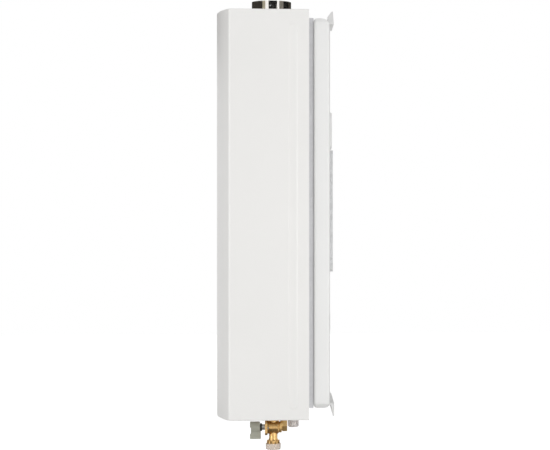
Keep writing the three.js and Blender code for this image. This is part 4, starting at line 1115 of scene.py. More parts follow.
    def joined(self, other: "Form") -> "Form":
        """Takes in the faces of another form.

        Args:
            other: The form, which is used up.

        Returns:
            This form.
        """
        mesh = bpy.data.meshes.new("taken_in")
        other.bm.to_mesh(mesh)
        other.bm.free()
        self.bm.from_mesh(mesh)
        bpy.data.meshes.remove(mesh)
        return self

    def placed(
        self, centre: Sequence[float] = (0.0, 0.0, 0.0), facing: Facing = Facing.UP, turn: float = 0.0
    ) -> "Form":
        """Turns the form about its own Z, then faces it one way and moves it into place.

        Args:
            centre: Where its origin goes, in millimetres.
            facing: The way that its +Z points afterwards.
            turn: The turn about its own Z, in degrees.

        Returns:
            This form.
        """
        matrix = (
            Matrix.Translation(Vector(centre) * MM)
            @ facing.turn()
            @ Matrix.Rotation(math.radians(turn), 4, "Z")
        )
        bmesh.ops.transform(self.bm, matrix=matrix, verts=self.bm.verts[:])
        return self

    def done(
        self,
        name: str,
        body: Body,
        finish: str,
        replaces: Sequence[str] = (),
        sharp: float = 32.0,
        wall: float = 0.0,
    ) -> bpy.types.Object:
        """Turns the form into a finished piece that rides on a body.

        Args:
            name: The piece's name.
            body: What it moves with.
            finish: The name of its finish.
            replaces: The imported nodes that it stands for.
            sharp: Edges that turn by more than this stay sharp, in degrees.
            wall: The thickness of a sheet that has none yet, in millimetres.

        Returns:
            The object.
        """
        mesh = bpy.data.meshes.new(name)
        self.bm.to_mesh(mesh)
        self.bm.free()
        mesh.polygons.foreach_set("use_smooth", [True] * len(mesh.polygons))
        mesh.set_sharp_from_angle(angle=math.radians(sharp))
        mesh.materials.append(Finishes.get(finish))
        piece = bpy.data.objects.new(name, mesh)
        bpy.context.scene.collection.objects.link(piece)
        if wall > 0:
            thick = piece.modifiers.new("sheet", "SOLIDIFY")
            thick.thickness = wall * MM
            thick.offset = -1.0
        flat = piece.modifiers.new("flat", "WEIGHTED_NORMAL")
        flat.keep_sharp = True
        flat.weight = 80
        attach(piece, body.value)
        if replaces:
            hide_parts(*replaces)
        Finishes.SLOTS.get(finish, finish)
        LOG.info("piece %s: %d faces", name, len(mesh.polygons))
        return piece


def recast(node: str, width: float = 0.4, segments: int = 2, angle: float = 30.0) -> Form:
    """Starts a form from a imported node: its loose triangles merged, flattened and softened.

    Args:
        node: The node's name.
        width: The rounding of its sharp edges in millimetres.
        segments: How many facets that rounding has.
        angle: Only edges that turn by more than this are rounded, in degrees.

    Returns:
        The form.
    """
    form = Form()
    form.bm.from_mesh(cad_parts[node].data)
    bmesh.ops.remove_doubles(form.bm, verts=form.bm.verts[:], dist=WELD_REACH)
    bmesh.ops.dissolve_limit(
        form.bm,
        angle_limit=math.radians(FLAT_DEGREES),
        use_dissolve_boundaries=False,
        verts=form.bm.verts[:],
        edges=form.bm.edges[:],
    )
    if width > 0:
        form.rounded(width, segments, angle)
    return form


def dress_nodes(finishes: dict[str, Sequence[str]], soften: float = 0.25) -> None:
    """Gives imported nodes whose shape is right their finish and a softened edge.

    Args:
        finishes: The nodes under the name of each finish.
        soften: The rounding of their edges in millimetres.
    """
    for finish, nodes in finishes.items():
        for node in nodes:
            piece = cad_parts[node]
            piece.data.materials.clear()
            piece.data.materials.append(Finishes.get(finish))
            piece.data.polygons.foreach_set("material_index", [0] * len(piece.data.polygons))
            weld = piece.modifiers.new("weld", "WELD")
            weld.merge_threshold = WELD_REACH
            if soften > 0:
                edge = piece.modifiers.new("edge", "BEVEL")
                edge.width = soften * MM
                edge.segments = 2
                edge.limit_method = "ANGLE"
                edge.angle_limit = math.radians(SOFT_EDGE_DEGREES)
            LOG.info("node %s: %s", node, finish)


# Sub-assemblies


@dataclass
class Casing:
    """The bowed front cover with its pressed beads and screws. Sizes are in millimetres.

    The flue and the fittings are holes, each with its X, its Y and its radius. The window is
    a hole with its X, its Z, and half its width and height.
    """

    half_width: float = 175.0
    top: float = 8.0
    bottom: float = -582.0
    rear: float = -39.5
    fold: float = -154.1
    front: float = -173.5
    bow_corner: float = 138.51
    fold_radius: float = 2.6
    bow_reach: float = 37.4
    edge: float = 1.6
    wall: float = 1.2
    lip: float = 16.0
    bead_middle: float = -62.6
    bead_half: float = 7.15
    bead_run: float = 2.4
    bead_rise: float = 0.58
    bead_top_margin: float = 19.5
    bead_bottom_margin: float = 15.5
    flue: tuple[float, float, float] = (0.0, -93.8, 33.0)
    window: tuple[float, float, float, float] = (0.0, -432.0, 48.5, 17.5)
    window_corner: float = 6.5
    back_corner: float = 4.0
    fittings: tuple[tuple[float, float, float], ...] = (
        (95.0, -91.0, 11.5),
        (-95.0, -91.0, 11.5),
        (0.0, -61.2, 11.5),
        (60.0, -61.2, 9.5),
        (-48.0, -61.2, 10.0),
    )

    def plan(self) -> Form:
        """Raises the closed block that the sheet wraps, its vertical folds already rounded.

        Returns:
            The block.
        """
        corners = [
            (self.half_width, self.rear),
            (self.half_width, self.fold),
            (self.bow_corner, self.front),
            (-self.bow_corner, self.front),
            (-self.half_width, self.fold),
            (-self.half_width, self.rear),
        ]
        bend = self.fold_radius
        radii = [0.0, bend, self.bow_reach, self.bow_reach, bend, 0.0]
        form = Form().plate(corners, radii, self.top - self.bottom, 16)
        return form.placed((0.0, 0.0, self.bottom))

    def shell(self) -> bpy.types.Object:
        """Builds the cover's sheet with its beads, its openings and its rear lip.

        Returns:
            The piece.
        """
        form = self.plan()
        level = [
            edge
            for edge in form.bm.edges
            if abs(edge.verts[0].co.z - edge.verts[1].co.z) < TURN_WELD
            and min(v.co.y for v in edge.verts) < (self.rear - 0.5) * MM
        ]
        form.rounded(self.edge, 4, 60.0, level)
        middle = (self.top - self.bead_top_margin + self.bottom + self.bead_bottom_margin) / 2
        half = (self.top - self.bead_top_margin - self.bottom - self.bead_bottom_margin) / 2
        for side, facing in ((1.0, Facing.RIGHT), (-1.0, Facing.LEFT)):
            rim = form.window(
                (side * self.half_width, self.bead_middle, middle),
                facing,
                Facing.UP,
                (half, self.bead_half),
                self.bead_half,
                10,
            )
            form.swelled(form.filled(rim), self.bead_run, self.bead_rise, 7)
        x, y, radius = self.flue
        form.window((x, y, self.top), Facing.UP, Facing.RIGHT, (radius, radius), radius, 12)
        x, z, half_width, half_height = self.window
        form.window(
            (x, self.front, z),
            Facing.FRONT,
            Facing.RIGHT,
            (half_width, half_height),
            self.window_corner,
            6,
        )
        for x, y, radius in self.fittings:
            form.window((x, y, self.bottom), Facing.DOWN, Facing.RIGHT, (radius, radius), radius, 6)
        tall = (self.top - self.bottom) / 2
        form.window(
            (0.0, self.rear, self.top - tall),
            Facing.WALL,
            Facing.RIGHT,
            (self.half_width - self.lip, tall - self.lip),
            self.back_corner,
            4,
        )
        form.welded(FINE_WELD)
        return form.done(
            "cover_shell", Body.HEATER, "cover_paint", ["front_cover"], 26.0, self.wall
        )

    def build(self) -> list[bpy.types.Object]:
        """Builds every piece of the casing.

        Returns:
            The pieces.
        """
        pieces = [self.shell()]
        screw = PanHead(head_radius=4.0, head_height=1.8, shank_radius=2.0, shank_length=6.0)
        for name in ("top_left", "top_right", "bottom_left", "bottom_right"):
            node = f"cover_screw_{name}"
            low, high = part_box(node)
            facing = Facing.UP if name.startswith("top") else Facing.DOWN
            face = high.z if name.startswith("top") else low.z
            middle = (low + high) / 2 / MM
            under = math.copysign(screw.head_height, facing.value[2])
            place = (middle.x, middle.y, face / MM - under)
            pieces.append(screw.build(f"screw_{name}", place, facing, Body.HEATER, [node]))
        return pieces


@dataclass
class PanHead:
    """A pan head screw with a cross recess. Its origin is under its head, in millimetres."""

    head_radius: float
    head_height: float
    shank_radius: float
    shank_length: float
    pitch: float = 0.9

    def build(
        self,
        name: str,
        place: Sequence[float],
        facing: Facing,
        body: Body,
        replaces: Sequence[str],
        turn: float = 20.0,
    ) -> bpy.types.Object:
        """Builds the screw.

        Args:
            name: The piece's name.
            place: Where the underside of its head goes.
            facing: The way that its head looks.
            body: What it moves with.
            replaces: The nodes that it stands for.
            turn: How its cross is turned, in degrees.

        Returns:
            The object.
        """
        radius, height = self.head_radius, self.head_height
        threads = []
        turns = int(self.shank_length / self.pitch) - 1
        for ring in range(turns):
            low = -self.shank_length + 0.4 + ring * self.pitch
            threads += [
                (self.shank_radius, low + self.pitch * 0.25),
                (self.shank_radius * 0.84, low + self.pitch * 0.75),
            ]
        crown = [
            (radius * math.cos(angle), height * (0.35 + 0.65 * math.sin(angle)))
            for angle in (0.0, 0.25, 0.5, 0.75, 1.0, 1.15)
        ]
        rim = crown[-1][0]
        level = height * 0.955
        profile = [
            (0.0, -self.shank_length),
            (self.shank_radius * 0.6, -self.shank_length),
            *threads,
            (self.shank_radius * 0.9, -0.2),
            (self.shank_radius * 0.9, 0.0),
            (radius * 0.94, 0.0),
            (radius, 0.12 * height),
            *crown,
            (rim * 0.98, level),
        ]
        form = Form().turned(profile, 32)
        loop = [edge for edge in form.bm.edges if edge.is_boundary]
        arm, half = rim * 0.8, rim * 0.2
        cross = [
            (arm, -half), (arm, half), (half, half), (half, arm), (-half, arm), (-half, half),
            (-arm, half), (-arm, -half), (-half, -half), (-half, -arm), (half, -arm), (half, -half),
        ]
        verts = [form.bm.verts.new((x * MM, y * MM, level * MM)) for x, y in cross]
        edges = [form.bm.edges.new(pair) for pair in zip(verts, verts[1:] + verts[:1])]
        bmesh.ops.triangle_fill(form.bm, use_beauty=True, edges=loop + edges, normal=(0, 0, 1))
        inner = [
            face
            for face in form.bm.faces
            if all(abs(v.co.z - level * MM) < FINE_WELD for v in face.verts)
            and math.hypot(*face.calc_center_median().xy) < arm * 0.9 * MM
            and all(v in verts for v in face.verts)
        ]
        cut = [face for face in inner if self.in_cross(face.calc_center_median(), arm, half)]
        if cut:
            moved = form.raised(cut, Vector((0.0, 0.0, -height * 0.55 * MM)))
            floor = list({vert for face in moved for vert in face.verts})
            bmesh.ops.scale(form.bm, vec=(0.7, 0.7, 1.0), verts=floor)
            bmesh.ops.delete(form.bm, geom=[f for f in cut if f.is_valid], context="FACES_ONLY")
        form.welded()
        return form.placed(place, facing, turn).done(name, body, "screw_steel", replaces, 40.0)

    @staticmethod
    def in_cross(point: Vector, arm: float, half: float) -> bool:
        """Says whether a point lies inside the cross recess."""
        x, y = abs(point.x) / MM, abs(point.y) / MM
        return (x < half and y < arm) or (y < half and x < arm)


@dataclass
class RearPan:
    """The rear pan, the galvanised chassis before it and what joins them to the wall.

    Sizes are in millimetres.
    """

    rivet_radius: float = 4.0
    rivet_height: float = 1.6
    corners: tuple[str, ...] = ("top_left", "top_right", "bottom_left", "bottom_right")

    def build(self) -> list[bpy.types.Object]:
        """Builds every piece of the back.

        Returns:
            The pieces.
        """
        pieces = [
            recast("rear_pan", 0.7, 3, 20.0).done(
                "pan_pressing", Body.HEATER, "pan_paint", ["rear_pan"], 35.0
            ),
            recast("chassis_box", 0.5, 2, 30.0).done(
                "chassis_tray", Body.HEATER, "chassis_galvanised", ["chassis_box"], 35.0
            ),
        ]
        dress_nodes({"bracket_paint": ["top_bracket", "bottom_bracket"]}, 0.3)
        for side in ("left", "right"):
            node = f"spacer_strip_{side}"
            pieces.append(
                recast(node, 0.4, 3, 30.0).done(
                    f"strip_{side}", Body.HEATER, "strip_galvanised", [node], 35.0
                )
            )
        return pieces + [self.rivet(name) for name in self.corners]

    def rivet(self, name: str) -> bpy.types.Object:
        """Builds a pop rivet with its domed head and its broken stem.

        Args:
            name: The bracket and the side that it is on.

        Returns:
            The piece.
        """
        node = f"bracket_rivet_{name}"
        low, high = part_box(node)
        middle = (low + high) / 2 / MM
        length = (high.y - low.y) / MM
        radius, height = self.rivet_radius, self.rivet_height
        dome = [
            (radius * math.cos(a), -height + height * math.sin(a)) for a in (0.0, 0.3, 0.6, 0.9, 1.15)
        ]
        form = Form().turned(
            [
                (0.0, -length), (1.6, -length), (2.0, -length + 0.5), (2.0, -height), (radius, -height),
                *dome, (1.25, -0.12), (1.2, -0.5), (0.95, -0.5), (0.85, -0.25), (0.0, -0.2),
            ],
            28,
        )
        form.placed((middle.x, high.y / MM, middle.z), Facing.WALL)
        return form.done(f"rivet_{name}", Body.HEATER, "screw_steel", [node], 40.0)


@dataclass
class Flue:
    """The round exhaust collar and the seal round it. Sizes are in millimetres."""

    centre: Place = (0.0, -93.8)
    radius: float = 30.0
    wall: float = 0.8
    top: float = 37.5
    plate: float = -2.7
    plate_wall: float = 1.2
    flange: float = 42.0
    lip: float = 0.9
    seam_rivet: float = 1.1
    seam_height: float = 29.4
    seam_from_middle: float = 1.8
    seam_sink: float = 0.15

    def collar(self) -> bpy.types.Object:
        """Spins the tube with its rolled lip and the flange that it stands on.

        Returns:
            The piece.
        """
        r, wall, lip = self.radius, self.wall, self.lip
        low = self.plate + 0.3
        roll = [
            (r - lip / 2 + lip / 2 * math.cos(a), self.top - lip / 2 + lip / 2 * math.sin(a))
            for a in (0.0, 0.5, 1.0, 1.57, 2.1, 2.6, 3.14, 3.9, 4.4)
        ]
        profile = [
            (r - wall, low), (self.flange - 0.4, low), (self.flange, low + 0.4),
            (self.flange, low + self.plate_wall - 0.3), (self.flange - 0.3, low + self.plate_wall),
            (r + 1.4, low + self.plate_wall), (r + 0.4, low + self.plate_wall + 0.4),
            (r, low + self.plate_wall + 1.4), (r, self.top - lip),
            *roll, (r - wall, self.top - lip - 0.6), (r - wall, low),
        ]
        form = Form().turned(profile, 96)
        form.placed((*self.centre, 0.0))
        return form.done("flue_tube", Body.HEATER, "flue_stainless", ["flue_collar"], 40.0)

    def seam(self) -> bpy.types.Object:
        """Builds the blind rivet beside the tube's lap seam.

        Returns:
            The piece.
        """
        head = self.seam_rivet
        form = Form().turned(
            [
                (0.0, -0.6), (head, -0.6), (head, 0.0), (head - 0.1, 0.2), (head - 0.4, 0.4),
                (0.4, 0.42), (0.3, 0.2), (0.0, 0.2),
            ],
            24,
        )
        across = self.centre[1] - self.seam_from_middle
        form.placed((self.radius - self.seam_sink, across, self.seam_height), Facing.RIGHT)
        return form.done("flue_seam_rivet", Body.HEATER, "screw_steel", (), 40.0)

    def seal(self) -> bpy.types.Object:
        """Spins the rubber ring on the cover, with a groove round its top.

        Returns:
            The piece.
        """
        low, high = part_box("flue_seal")
        inner = self.radius + 0.3
        outer = (high.x - low.x) / 2 / MM
        bottom, top = low.z / MM, high.z / MM
        middle = (inner + outer) / 2
        profile = [
            (inner, bottom + 0.2), (inner + 0.2, bottom), (outer - 0.3, bottom), (outer, bottom + 0.3),
            (outer, top - 0.8), (outer - 0.6, top - 0.2), (outer - 1.6, top), (middle + 0.8, top),
            (middle + 0.4, top - 0.5), (middle - 0.4, top - 0.5), (middle - 0.8, top),
            (inner + 0.6, top), (inner, top - 0.5), (inner, bottom + 0.2),
        ]
        form = Form().turned(profile, 72).placed((*self.centre, 0.0))
        return form.done("flue_gasket", Body.HEATER, "seal_rubber", ["flue_seal"], 40.0)

    def build(self) -> list[bpy.types.Object]:
        """Builds every piece of the flue."""
        return [self.collar(), self.seam(), self.seal()]


@dataclass
class Fittings:
    """The threaded tubes, the drain plug and the cable gland under the cover, in millimetres."""

    cover_bottom: float = -582.0
    flute_rise: float = 1.8
    ribs: int = 10
    flutes: int = 12
    bore: float = 4.8
    radius: float = 10.4
    flange: float = 16.0
    flange_drop: float = 12.0
    drain_head: float = 17.0
    pitch: float = 1.814
    thread_depth: float = 0.75

    def nipple(self, name: str, node: str) -> bpy.types.Object:
        """Spins a tube with a pipe thread below the cover.

        Args:
            name: The piece's name.
            node: The node that it stands for.

        Returns:
            The piece.
        """
        low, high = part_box(node)
        x, y = (low.x + high.x) / 2 / MM, (low.y + high.y) / 2 / MM
        end, top = low.z / MM, high.z / MM
        seat = top - self.flange_drop
        profile = [(self.bore, end + 0.5), (self.bore + 0.5, end), (self.radius - 1.2, end)]
        start = end + 0.7
        rings = max(int((min(self.cover_bottom + 2.0, seat) - start) / self.pitch), 1)
        for ring in range(rings):
            base = start + ring * self.pitch
            profile += [
                (self.radius - self.thread_depth, base),
                (self.radius - 0.1, base + 0.42 * self.pitch),
                (self.radius - 0.1, base + 0.58 * self.pitch),
            ]
        last = start + rings * self.pitch
        profile += [
            (self.radius - self.thread_depth, last), (self.radius - self.thread_depth, last + 0.4),
            (self.radius, last + 1.2), (self.radius, seat), (self.flange - 0.5, seat),
            (self.flange, seat + 0.5), (self.flange, seat + 2.5), (self.flange - 0.5, seat + 3.0),
            (9.4, seat + 3.0), (9.4, top - 0.4), (9.0, top), (self.bore, top), (self.bore, end + 0.5),
        ]
        form = Form().turned(profile, 56).placed((x, y, 0.0))
        return form.done(name, Body.HEATER, "fitting_brass", [node], 40.0)

    def drain(self) -> bpy.types.Object:
        """Builds the clear drain plug: a ribbed head with a groove round it, and a narrow stem.

        Returns:
            The piece.
        """
        low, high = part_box("drain_plug")
        x, y = (low.x + high.x) / 2 / MM, (low.y + high.y) / 2 / MM
        head, top = low.z / MM, high.z / MM
        outer = (high.y - low.y) / 2 / MM
        neck = head + self.drain_head
        core = outer - 1.3
        form = Form().turned(
            [
                (0.0, head + 1.6), (core * 0.55, head + 1.6), (core * 0.6, head + 0.3),
                (core * 0.75, head), (core - 0.4, head), (core, head + 0.5), (core, head + 6.0),
                (core - 0.7, head + 6.6), (core - 0.7, head + 8.0), (core, head + 8.6),
                (core, neck - 0.6), (core - 0.6, neck), (5.0, neck), (5.0, top - 0.6), (4.4, top),
                (0.0, top),
            ],
            40,
        )
        for rib in range(self.ribs):
            bar = Form().box((core - 0.8, -0.55, head + 0.9), (outer - 0.05, 0.55, neck - 0.9))
            bar.rounded(0.35, 3, 60.0)
            form.joined(bar.placed(turn=360.0 / self.ribs * rib))
        form.placed((x, y, 0.0), turn=10.0)
        return form.done("drain_cap", Body.HEATER, "clear_plug", ["drain_plug"], 38.0)

    def gland(self) -> bpy.types.Object:
        """Builds the cable gland: a turned body with flutes, a round nose and a flange.

        Returns:
            The piece.
        """
        low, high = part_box("cable_gland")
        x, y = (low.x + high.x) / 2 / MM, (low.y + high.y) / 2 / MM
        end, top = low.z / MM, high.z / MM
        outer = (high.x - low.x) / 2 / MM
        body = outer - 3.5
        form = Form().turned(
            [
                (3.5, end + 0.8), (4.2, end), (5.6, end), (6.8, end + 0.7), (7.6, end + 1.8),
                (body - 0.4, end + 3.2), (body - 0.2, end + 4.0), (body - 0.2, top - 3.4),
                (outer - 0.3, top - 3.0), (outer, top - 2.6), (outer, top - 0.4), (outer - 0.4, top),
                (3.5, top), (3.5, end + 0.8),
            ],
            48,
        )
        flute_top = self.cover_bottom + self.flute_rise
        for flute in range(self.flutes):
            bar = Form().box((body - 1.2, -0.8, end + 3.9), (body, 0.8, flute_top))
            bar.rounded(0.3, 2, 60.0)
            form.joined(bar.placed(turn=360.0 / self.flutes * flute))
        form.placed((x, y, 0.0))
        return form.done("gland_cap", Body.HEATER, "black_plastic", ["cable_gland"], 40.0)

    def build(self) -> list[bpy.types.Object]:
        """Builds every fitting.

        Returns:
            The pieces.
        """
        return [
            self.nipple("tube_cold", "cold_inlet_nipple"),
            self.nipple("tube_hot", "hot_outlet_nipple"),
            self.nipple("tube_gas", "gas_inlet_nipple"),
            self.drain(),
            self.gland(),
        ]


@dataclass
class InletValve:
    """The lever valve on the cold water inlet. Sizes are about its centre, in millimetres.

    The collar's values are where it starts and ends behind the centre, and its two radii.
    """

    centre: Point = (95.0, -91.0, -601.3)
    knob_front: float = 34.3
    knob_back: float = 19.6
    hub: float = 8.3
    waist: float = 1.5
    skirt: float = 1.3
    grip_half: float = 4.9
    grip_reach: float = 16.75
    outlet_spline: float = 9.6
    cap_radius: float = 11.05
    screw_head: float = 1.8
    collar: tuple[float, float, float, float] = (8.8, 12.4, 6.0, 8.2)

    def knob_row(self, height: float) -> tuple[float, float, float]:
        """Gives the knob's outline at one height.

        Args:
            height: The height over the stem's middle in millimetres.

        Returns:
            How far its front and its back stand from the middle, and half its width.
        """
        down = -height
        waist = self.eased(down, -1.6, 1.4) - self.eased(down, 8.4, 11.8)
        front = self.knob_front - self.waist * waist
        back = self.knob_back - self.skirt * self.eased(down, 4.5, 7.0)
        round_half = math.sqrt(max(self.hub**2 - height**2, 0.0))
        flare = self.grip_half + 0.9 * self.eased(down, 9.2, 12.6)
        half = max(round_half, 1.6) if down < 4.0 else max(round_half, flare)
        return front, back, half

    @staticmethod
    def eased(value: float, start: float, end: float) -> float:
        """Rises smoothly from 0 to 1 while a value passes from start to end."""
        share = min(max((value - start) / (end - start), 0.0), 1.0)
        return share * share * (3 - 2 * share)

    def knob(self) -> bpy.types.Object:
        """Builds the moulded lever: a round hub that runs into a waisted grip below it.

        Returns:
            The piece.
        """
        top, low = self.hub - 0.05, -self.grip_reach
        heights = [top - (1 - math.cos(math.pi * step / 12)) / 2 * 4.0 for step in range(9)]
        heights += [heights[-1] - (heights[-1] - low) * step / 26 for step in range(1, 27)]
        form = Form()
        loops = []
        for height in heights:
            front, back, half = self.knob_row(height)
            ring = [
                form.bm.verts.new((x * MM, -y * MM, height * MM))
                for x, y in ((-half, back), (half, back), (half, front), (-half, front))
            ]
            loops.append([form.bm.edges.new(pair) for pair in zip(ring, ring[1:] + ring[:1])])
        for first, second in zip(loops, loops[1:]):
            bmesh.ops.bridge_loops(form.bm, edges=first + second)
        form.filled(loops[0])
        form.filled(loops[-1])
        form.welded().rounded(1.3, 4, 50.0)
        form.placed(self.centre)
        return form.done("lever_knob", Body.VALVE_LEVER, "knob_plastic", ["valve_lever_knob"], 34.0)

    def ring(self) -> bpy.types.Object:
        """Spins the dark packing ring between the knob and the flange.

        Returns:
            The piece.
        """
        low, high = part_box("valve_packing_ring")
        radius = (high.x - low.x) / 2 / MM
        centre = Vector(self.centre)
        front, back = centre.y - low.y / MM, centre.y - high.y / MM
        form = Form().turned(
            [
                (2.9, back + 0.2), (3.1, back), (radius - 0.6, back), (radius - 0.15, back + 0.4),
                (radius - 0.15, back + 0.9), (radius - 0.5, back + 1.1), (radius, back + 1.5),
                (radius, front - 0.4), (radius - 0.4, front), (2.9, front), (2.9, back + 0.2),
            ],
            48,
        )
        form.placed(self.centre, Facing.FRONT)
        return form.done(
            "lever_ring", Body.VALVE_LEVER, "ring_plastic", ["valve_packing_ring"], 38.0
        )

    def brass(self) -> list[bpy.types.Object]:
        """Recasts the valve's brass pieces with soft cast edges.

        Returns:
            The pieces.
        """
        return [
            recast("valve_body", 0.4, 3, 32.0).done(
                "valve_casting", Body.HEATER, "valve_brass", ["valve_body"], 40.0
            ),
            self.plug(),
            recast("valve_union_nut", 0.7, 3, 50.0).done(
                "valve_nut", Body.HEATER, "nut_brass", ["valve_union_nut"], 40.0
            ),
        ]

    def plug(self) -> bpy.types.Object:
        """Recasts the rear plug and seats it on a turned collar against the barrel.

        Returns:
            The piece.
        """
        front, back, inner, outer = self.collar
        form = Form().turned(
            [
                (inner, front), (outer - 0.5, front), (outer, front + 0.5), (outer, back - 0.5),
                (outer - 0.5, back), (inner, back), (inner, front),
            ],
            48,
        )
        form.placed(self.centre, Facing.WALL)
        form = recast("valve_rear_plug", 0.7, 3, 50.0).joined(form)
        return form.done("valve_plug", Body.HEATER, "nut_brass", ["valve_rear_plug"], 40.0)

    def screws(self) -> list[bpy.types.Object]:
        """Builds the two screws through the flange.

        Returns:
            The pieces.
        """
        made = []
        for side in ("left", "right"):
            node = f"valve_flange_screw_{side}"
            low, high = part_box(node)
            middle = (low + high) / 2 / MM
            head = self.screw_head
            screw = PanHead(2.2, head, 1.2, (high.y - low.y) / MM - head, 0.6)
            place = (middle.x, high.y / MM - head, middle.z)
            made.append(
                screw.build(f"flange_screw_{side}", place, Facing.WALL, Body.HEATER, [node], 35.0)
            )
        return made

    def cap(self) -> bpy.types.Object:
        """Spins the soft protective cap on the outlet, with a raised band at its mouth.

        Returns:
            The piece.
        """
        low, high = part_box("valve_end_cap")
        radius = self.cap_radius
        bottom, top = low.z / MM - self.centre[2], high.z / MM - self.centre[2]
        inner = self.outlet_spline + 0.3
        form = Form().turned(
            [
                (0.0, bottom), (radius - 2.4, bottom), (radius - 0.9, bottom + 0.35),
                (radius - 0.25, bottom + 1.3), (radius - 0.15, top - 3.0), (radius, top - 2.4),
                (radius, top - 0.35), (radius - 0.3, top), (inner + 0.3, top), (inner, top - 0.3),
                (inner, bottom + 2.1), (inner - 0.6, bottom + 1.6), (0.0, bottom + 1.6),
            ],
            72,
        )
        form.placed(self.centre)
        return form.done("outlet_cap", Body.END_CAP, "clear_cap", ["valve_end_cap"], 40.0)

    def build(self) -> list[bpy.types.Object]:
        """Builds every piece of the valve."""
        dress_nodes({"stem_steel": ["valve_stem", "valve_ball"]}, 0.2)
        return [self.knob(), self.ring(), *self.brass(), *self.screws(), self.cap()]


@dataclass
class ControlPanel:
    """The dark window with its three push buttons on the front. Sizes are in millimetres."""

    button_radius: float = 5.0
    buttons: dict[Body, str] = field(
        default_factory=lambda: {
            Body.POWER: "button_power",
            Body.UP: "button_up",
            Body.DOWN: "button_down",
        }
    )

    def window(self) -> bpy.types.Object:
        """Recasts the window with a soft polished edge."""
        return recast("display_panel", 0.5, 4, 40.0).done(
            "display_window", Body.HEATER, "display_gloss", ["display_panel"], 40.0
        )

    def button(self, body: Body, node: str) -> bpy.types.Object:
        """Spins a dished button with a raised rim.

        Args:
            body: The button's own body.
            node: The node that it stands for.

        Returns:
            The piece.
        """
        low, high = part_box(node)
        middle = (low + high) / 2 / MM
        front, back = low.y / MM, high.y / MM
        depth = back - front
        collar = (high.x - low.x) / 2 / MM
        radius = self.button_radius
        form = Form().turned(
            [
                (0.0, 0.0), (collar, 0.0), (collar, 1.1), (radius, 1.1), (radius, depth - 0.9),
                (radius - 0.12, depth - 0.5), (radius - 0.5, depth - 0.12), (radius - 0.95, depth),
                (radius - 1.3, depth - 0.06), (radius - 1.8, depth - 0.28),
                (radius - 2.8, depth - 0.45), (0.0, depth - 0.55),
            ],
            48,
        )
        form.placed((middle.x, back, middle.z), Facing.FRONT)
        return form.done(node.replace("button_", "key_"), body, "button_plastic", [node], 40.0)

    def build(self) -> list[bpy.types.Object]:
        """Builds every piece of the panel."""
        return [self.window(), *(self.button(body, node) for body, node in self.buttons.items())]


@dataclass
class Interior:
    """The pieces behind the cover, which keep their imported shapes."""

    finishes: dict[str, tuple[str, ...]] = field(
        default_factory=lambda: {
            "inner_galvanised": ("blower_housing", "blower_wheel", "flue_hood", "burner_rack"),
            "stem_steel": ("blower_shaft",),
            "cast_aluminium": ("gas_valve_body", "blower_motor"),
            "copper": (
                "exchanger_fins", "exchanger_coil", "cold_water_pipe", "hot_water_pipe",
                "gas_feed_pipe", "gas_inlet_pipe",
            ),
            "tinned_copper": ("combustion_chamber",),
            "fitting_brass": ("gas_manifold",),
            "black_plastic": ("flow_sensor_body", "gas_solenoid", "overheat_thermostat"),
            "ring_plastic": ("control_box",),
            "button_plastic": ("flow_turbine",),
            "ceramic": ("spark_electrode", "flame_sensor"),
            "circuit_board": ("control_board", "display_board"),
        }
    )

    def build(self) -> None:
        """Dresses every piece inside."""
        dress_nodes(self.finishes, 0.25)


@dataclass(frozen=True)
class SoftBox:
    """A lamp: where it hangs, the point it faces, its width and height in metres, its watts."""

    name: str
    place: Point
    target: Point
    size: tuple[float, float]
    watts: float


@dataclass(frozen=True)
class FlagRing:
    """Flags side by side in a ring, between two angles from +X in degrees and two levels."""

    name: str
    finish: str
    start: float
    end: float
    levels: tuple[float, float]


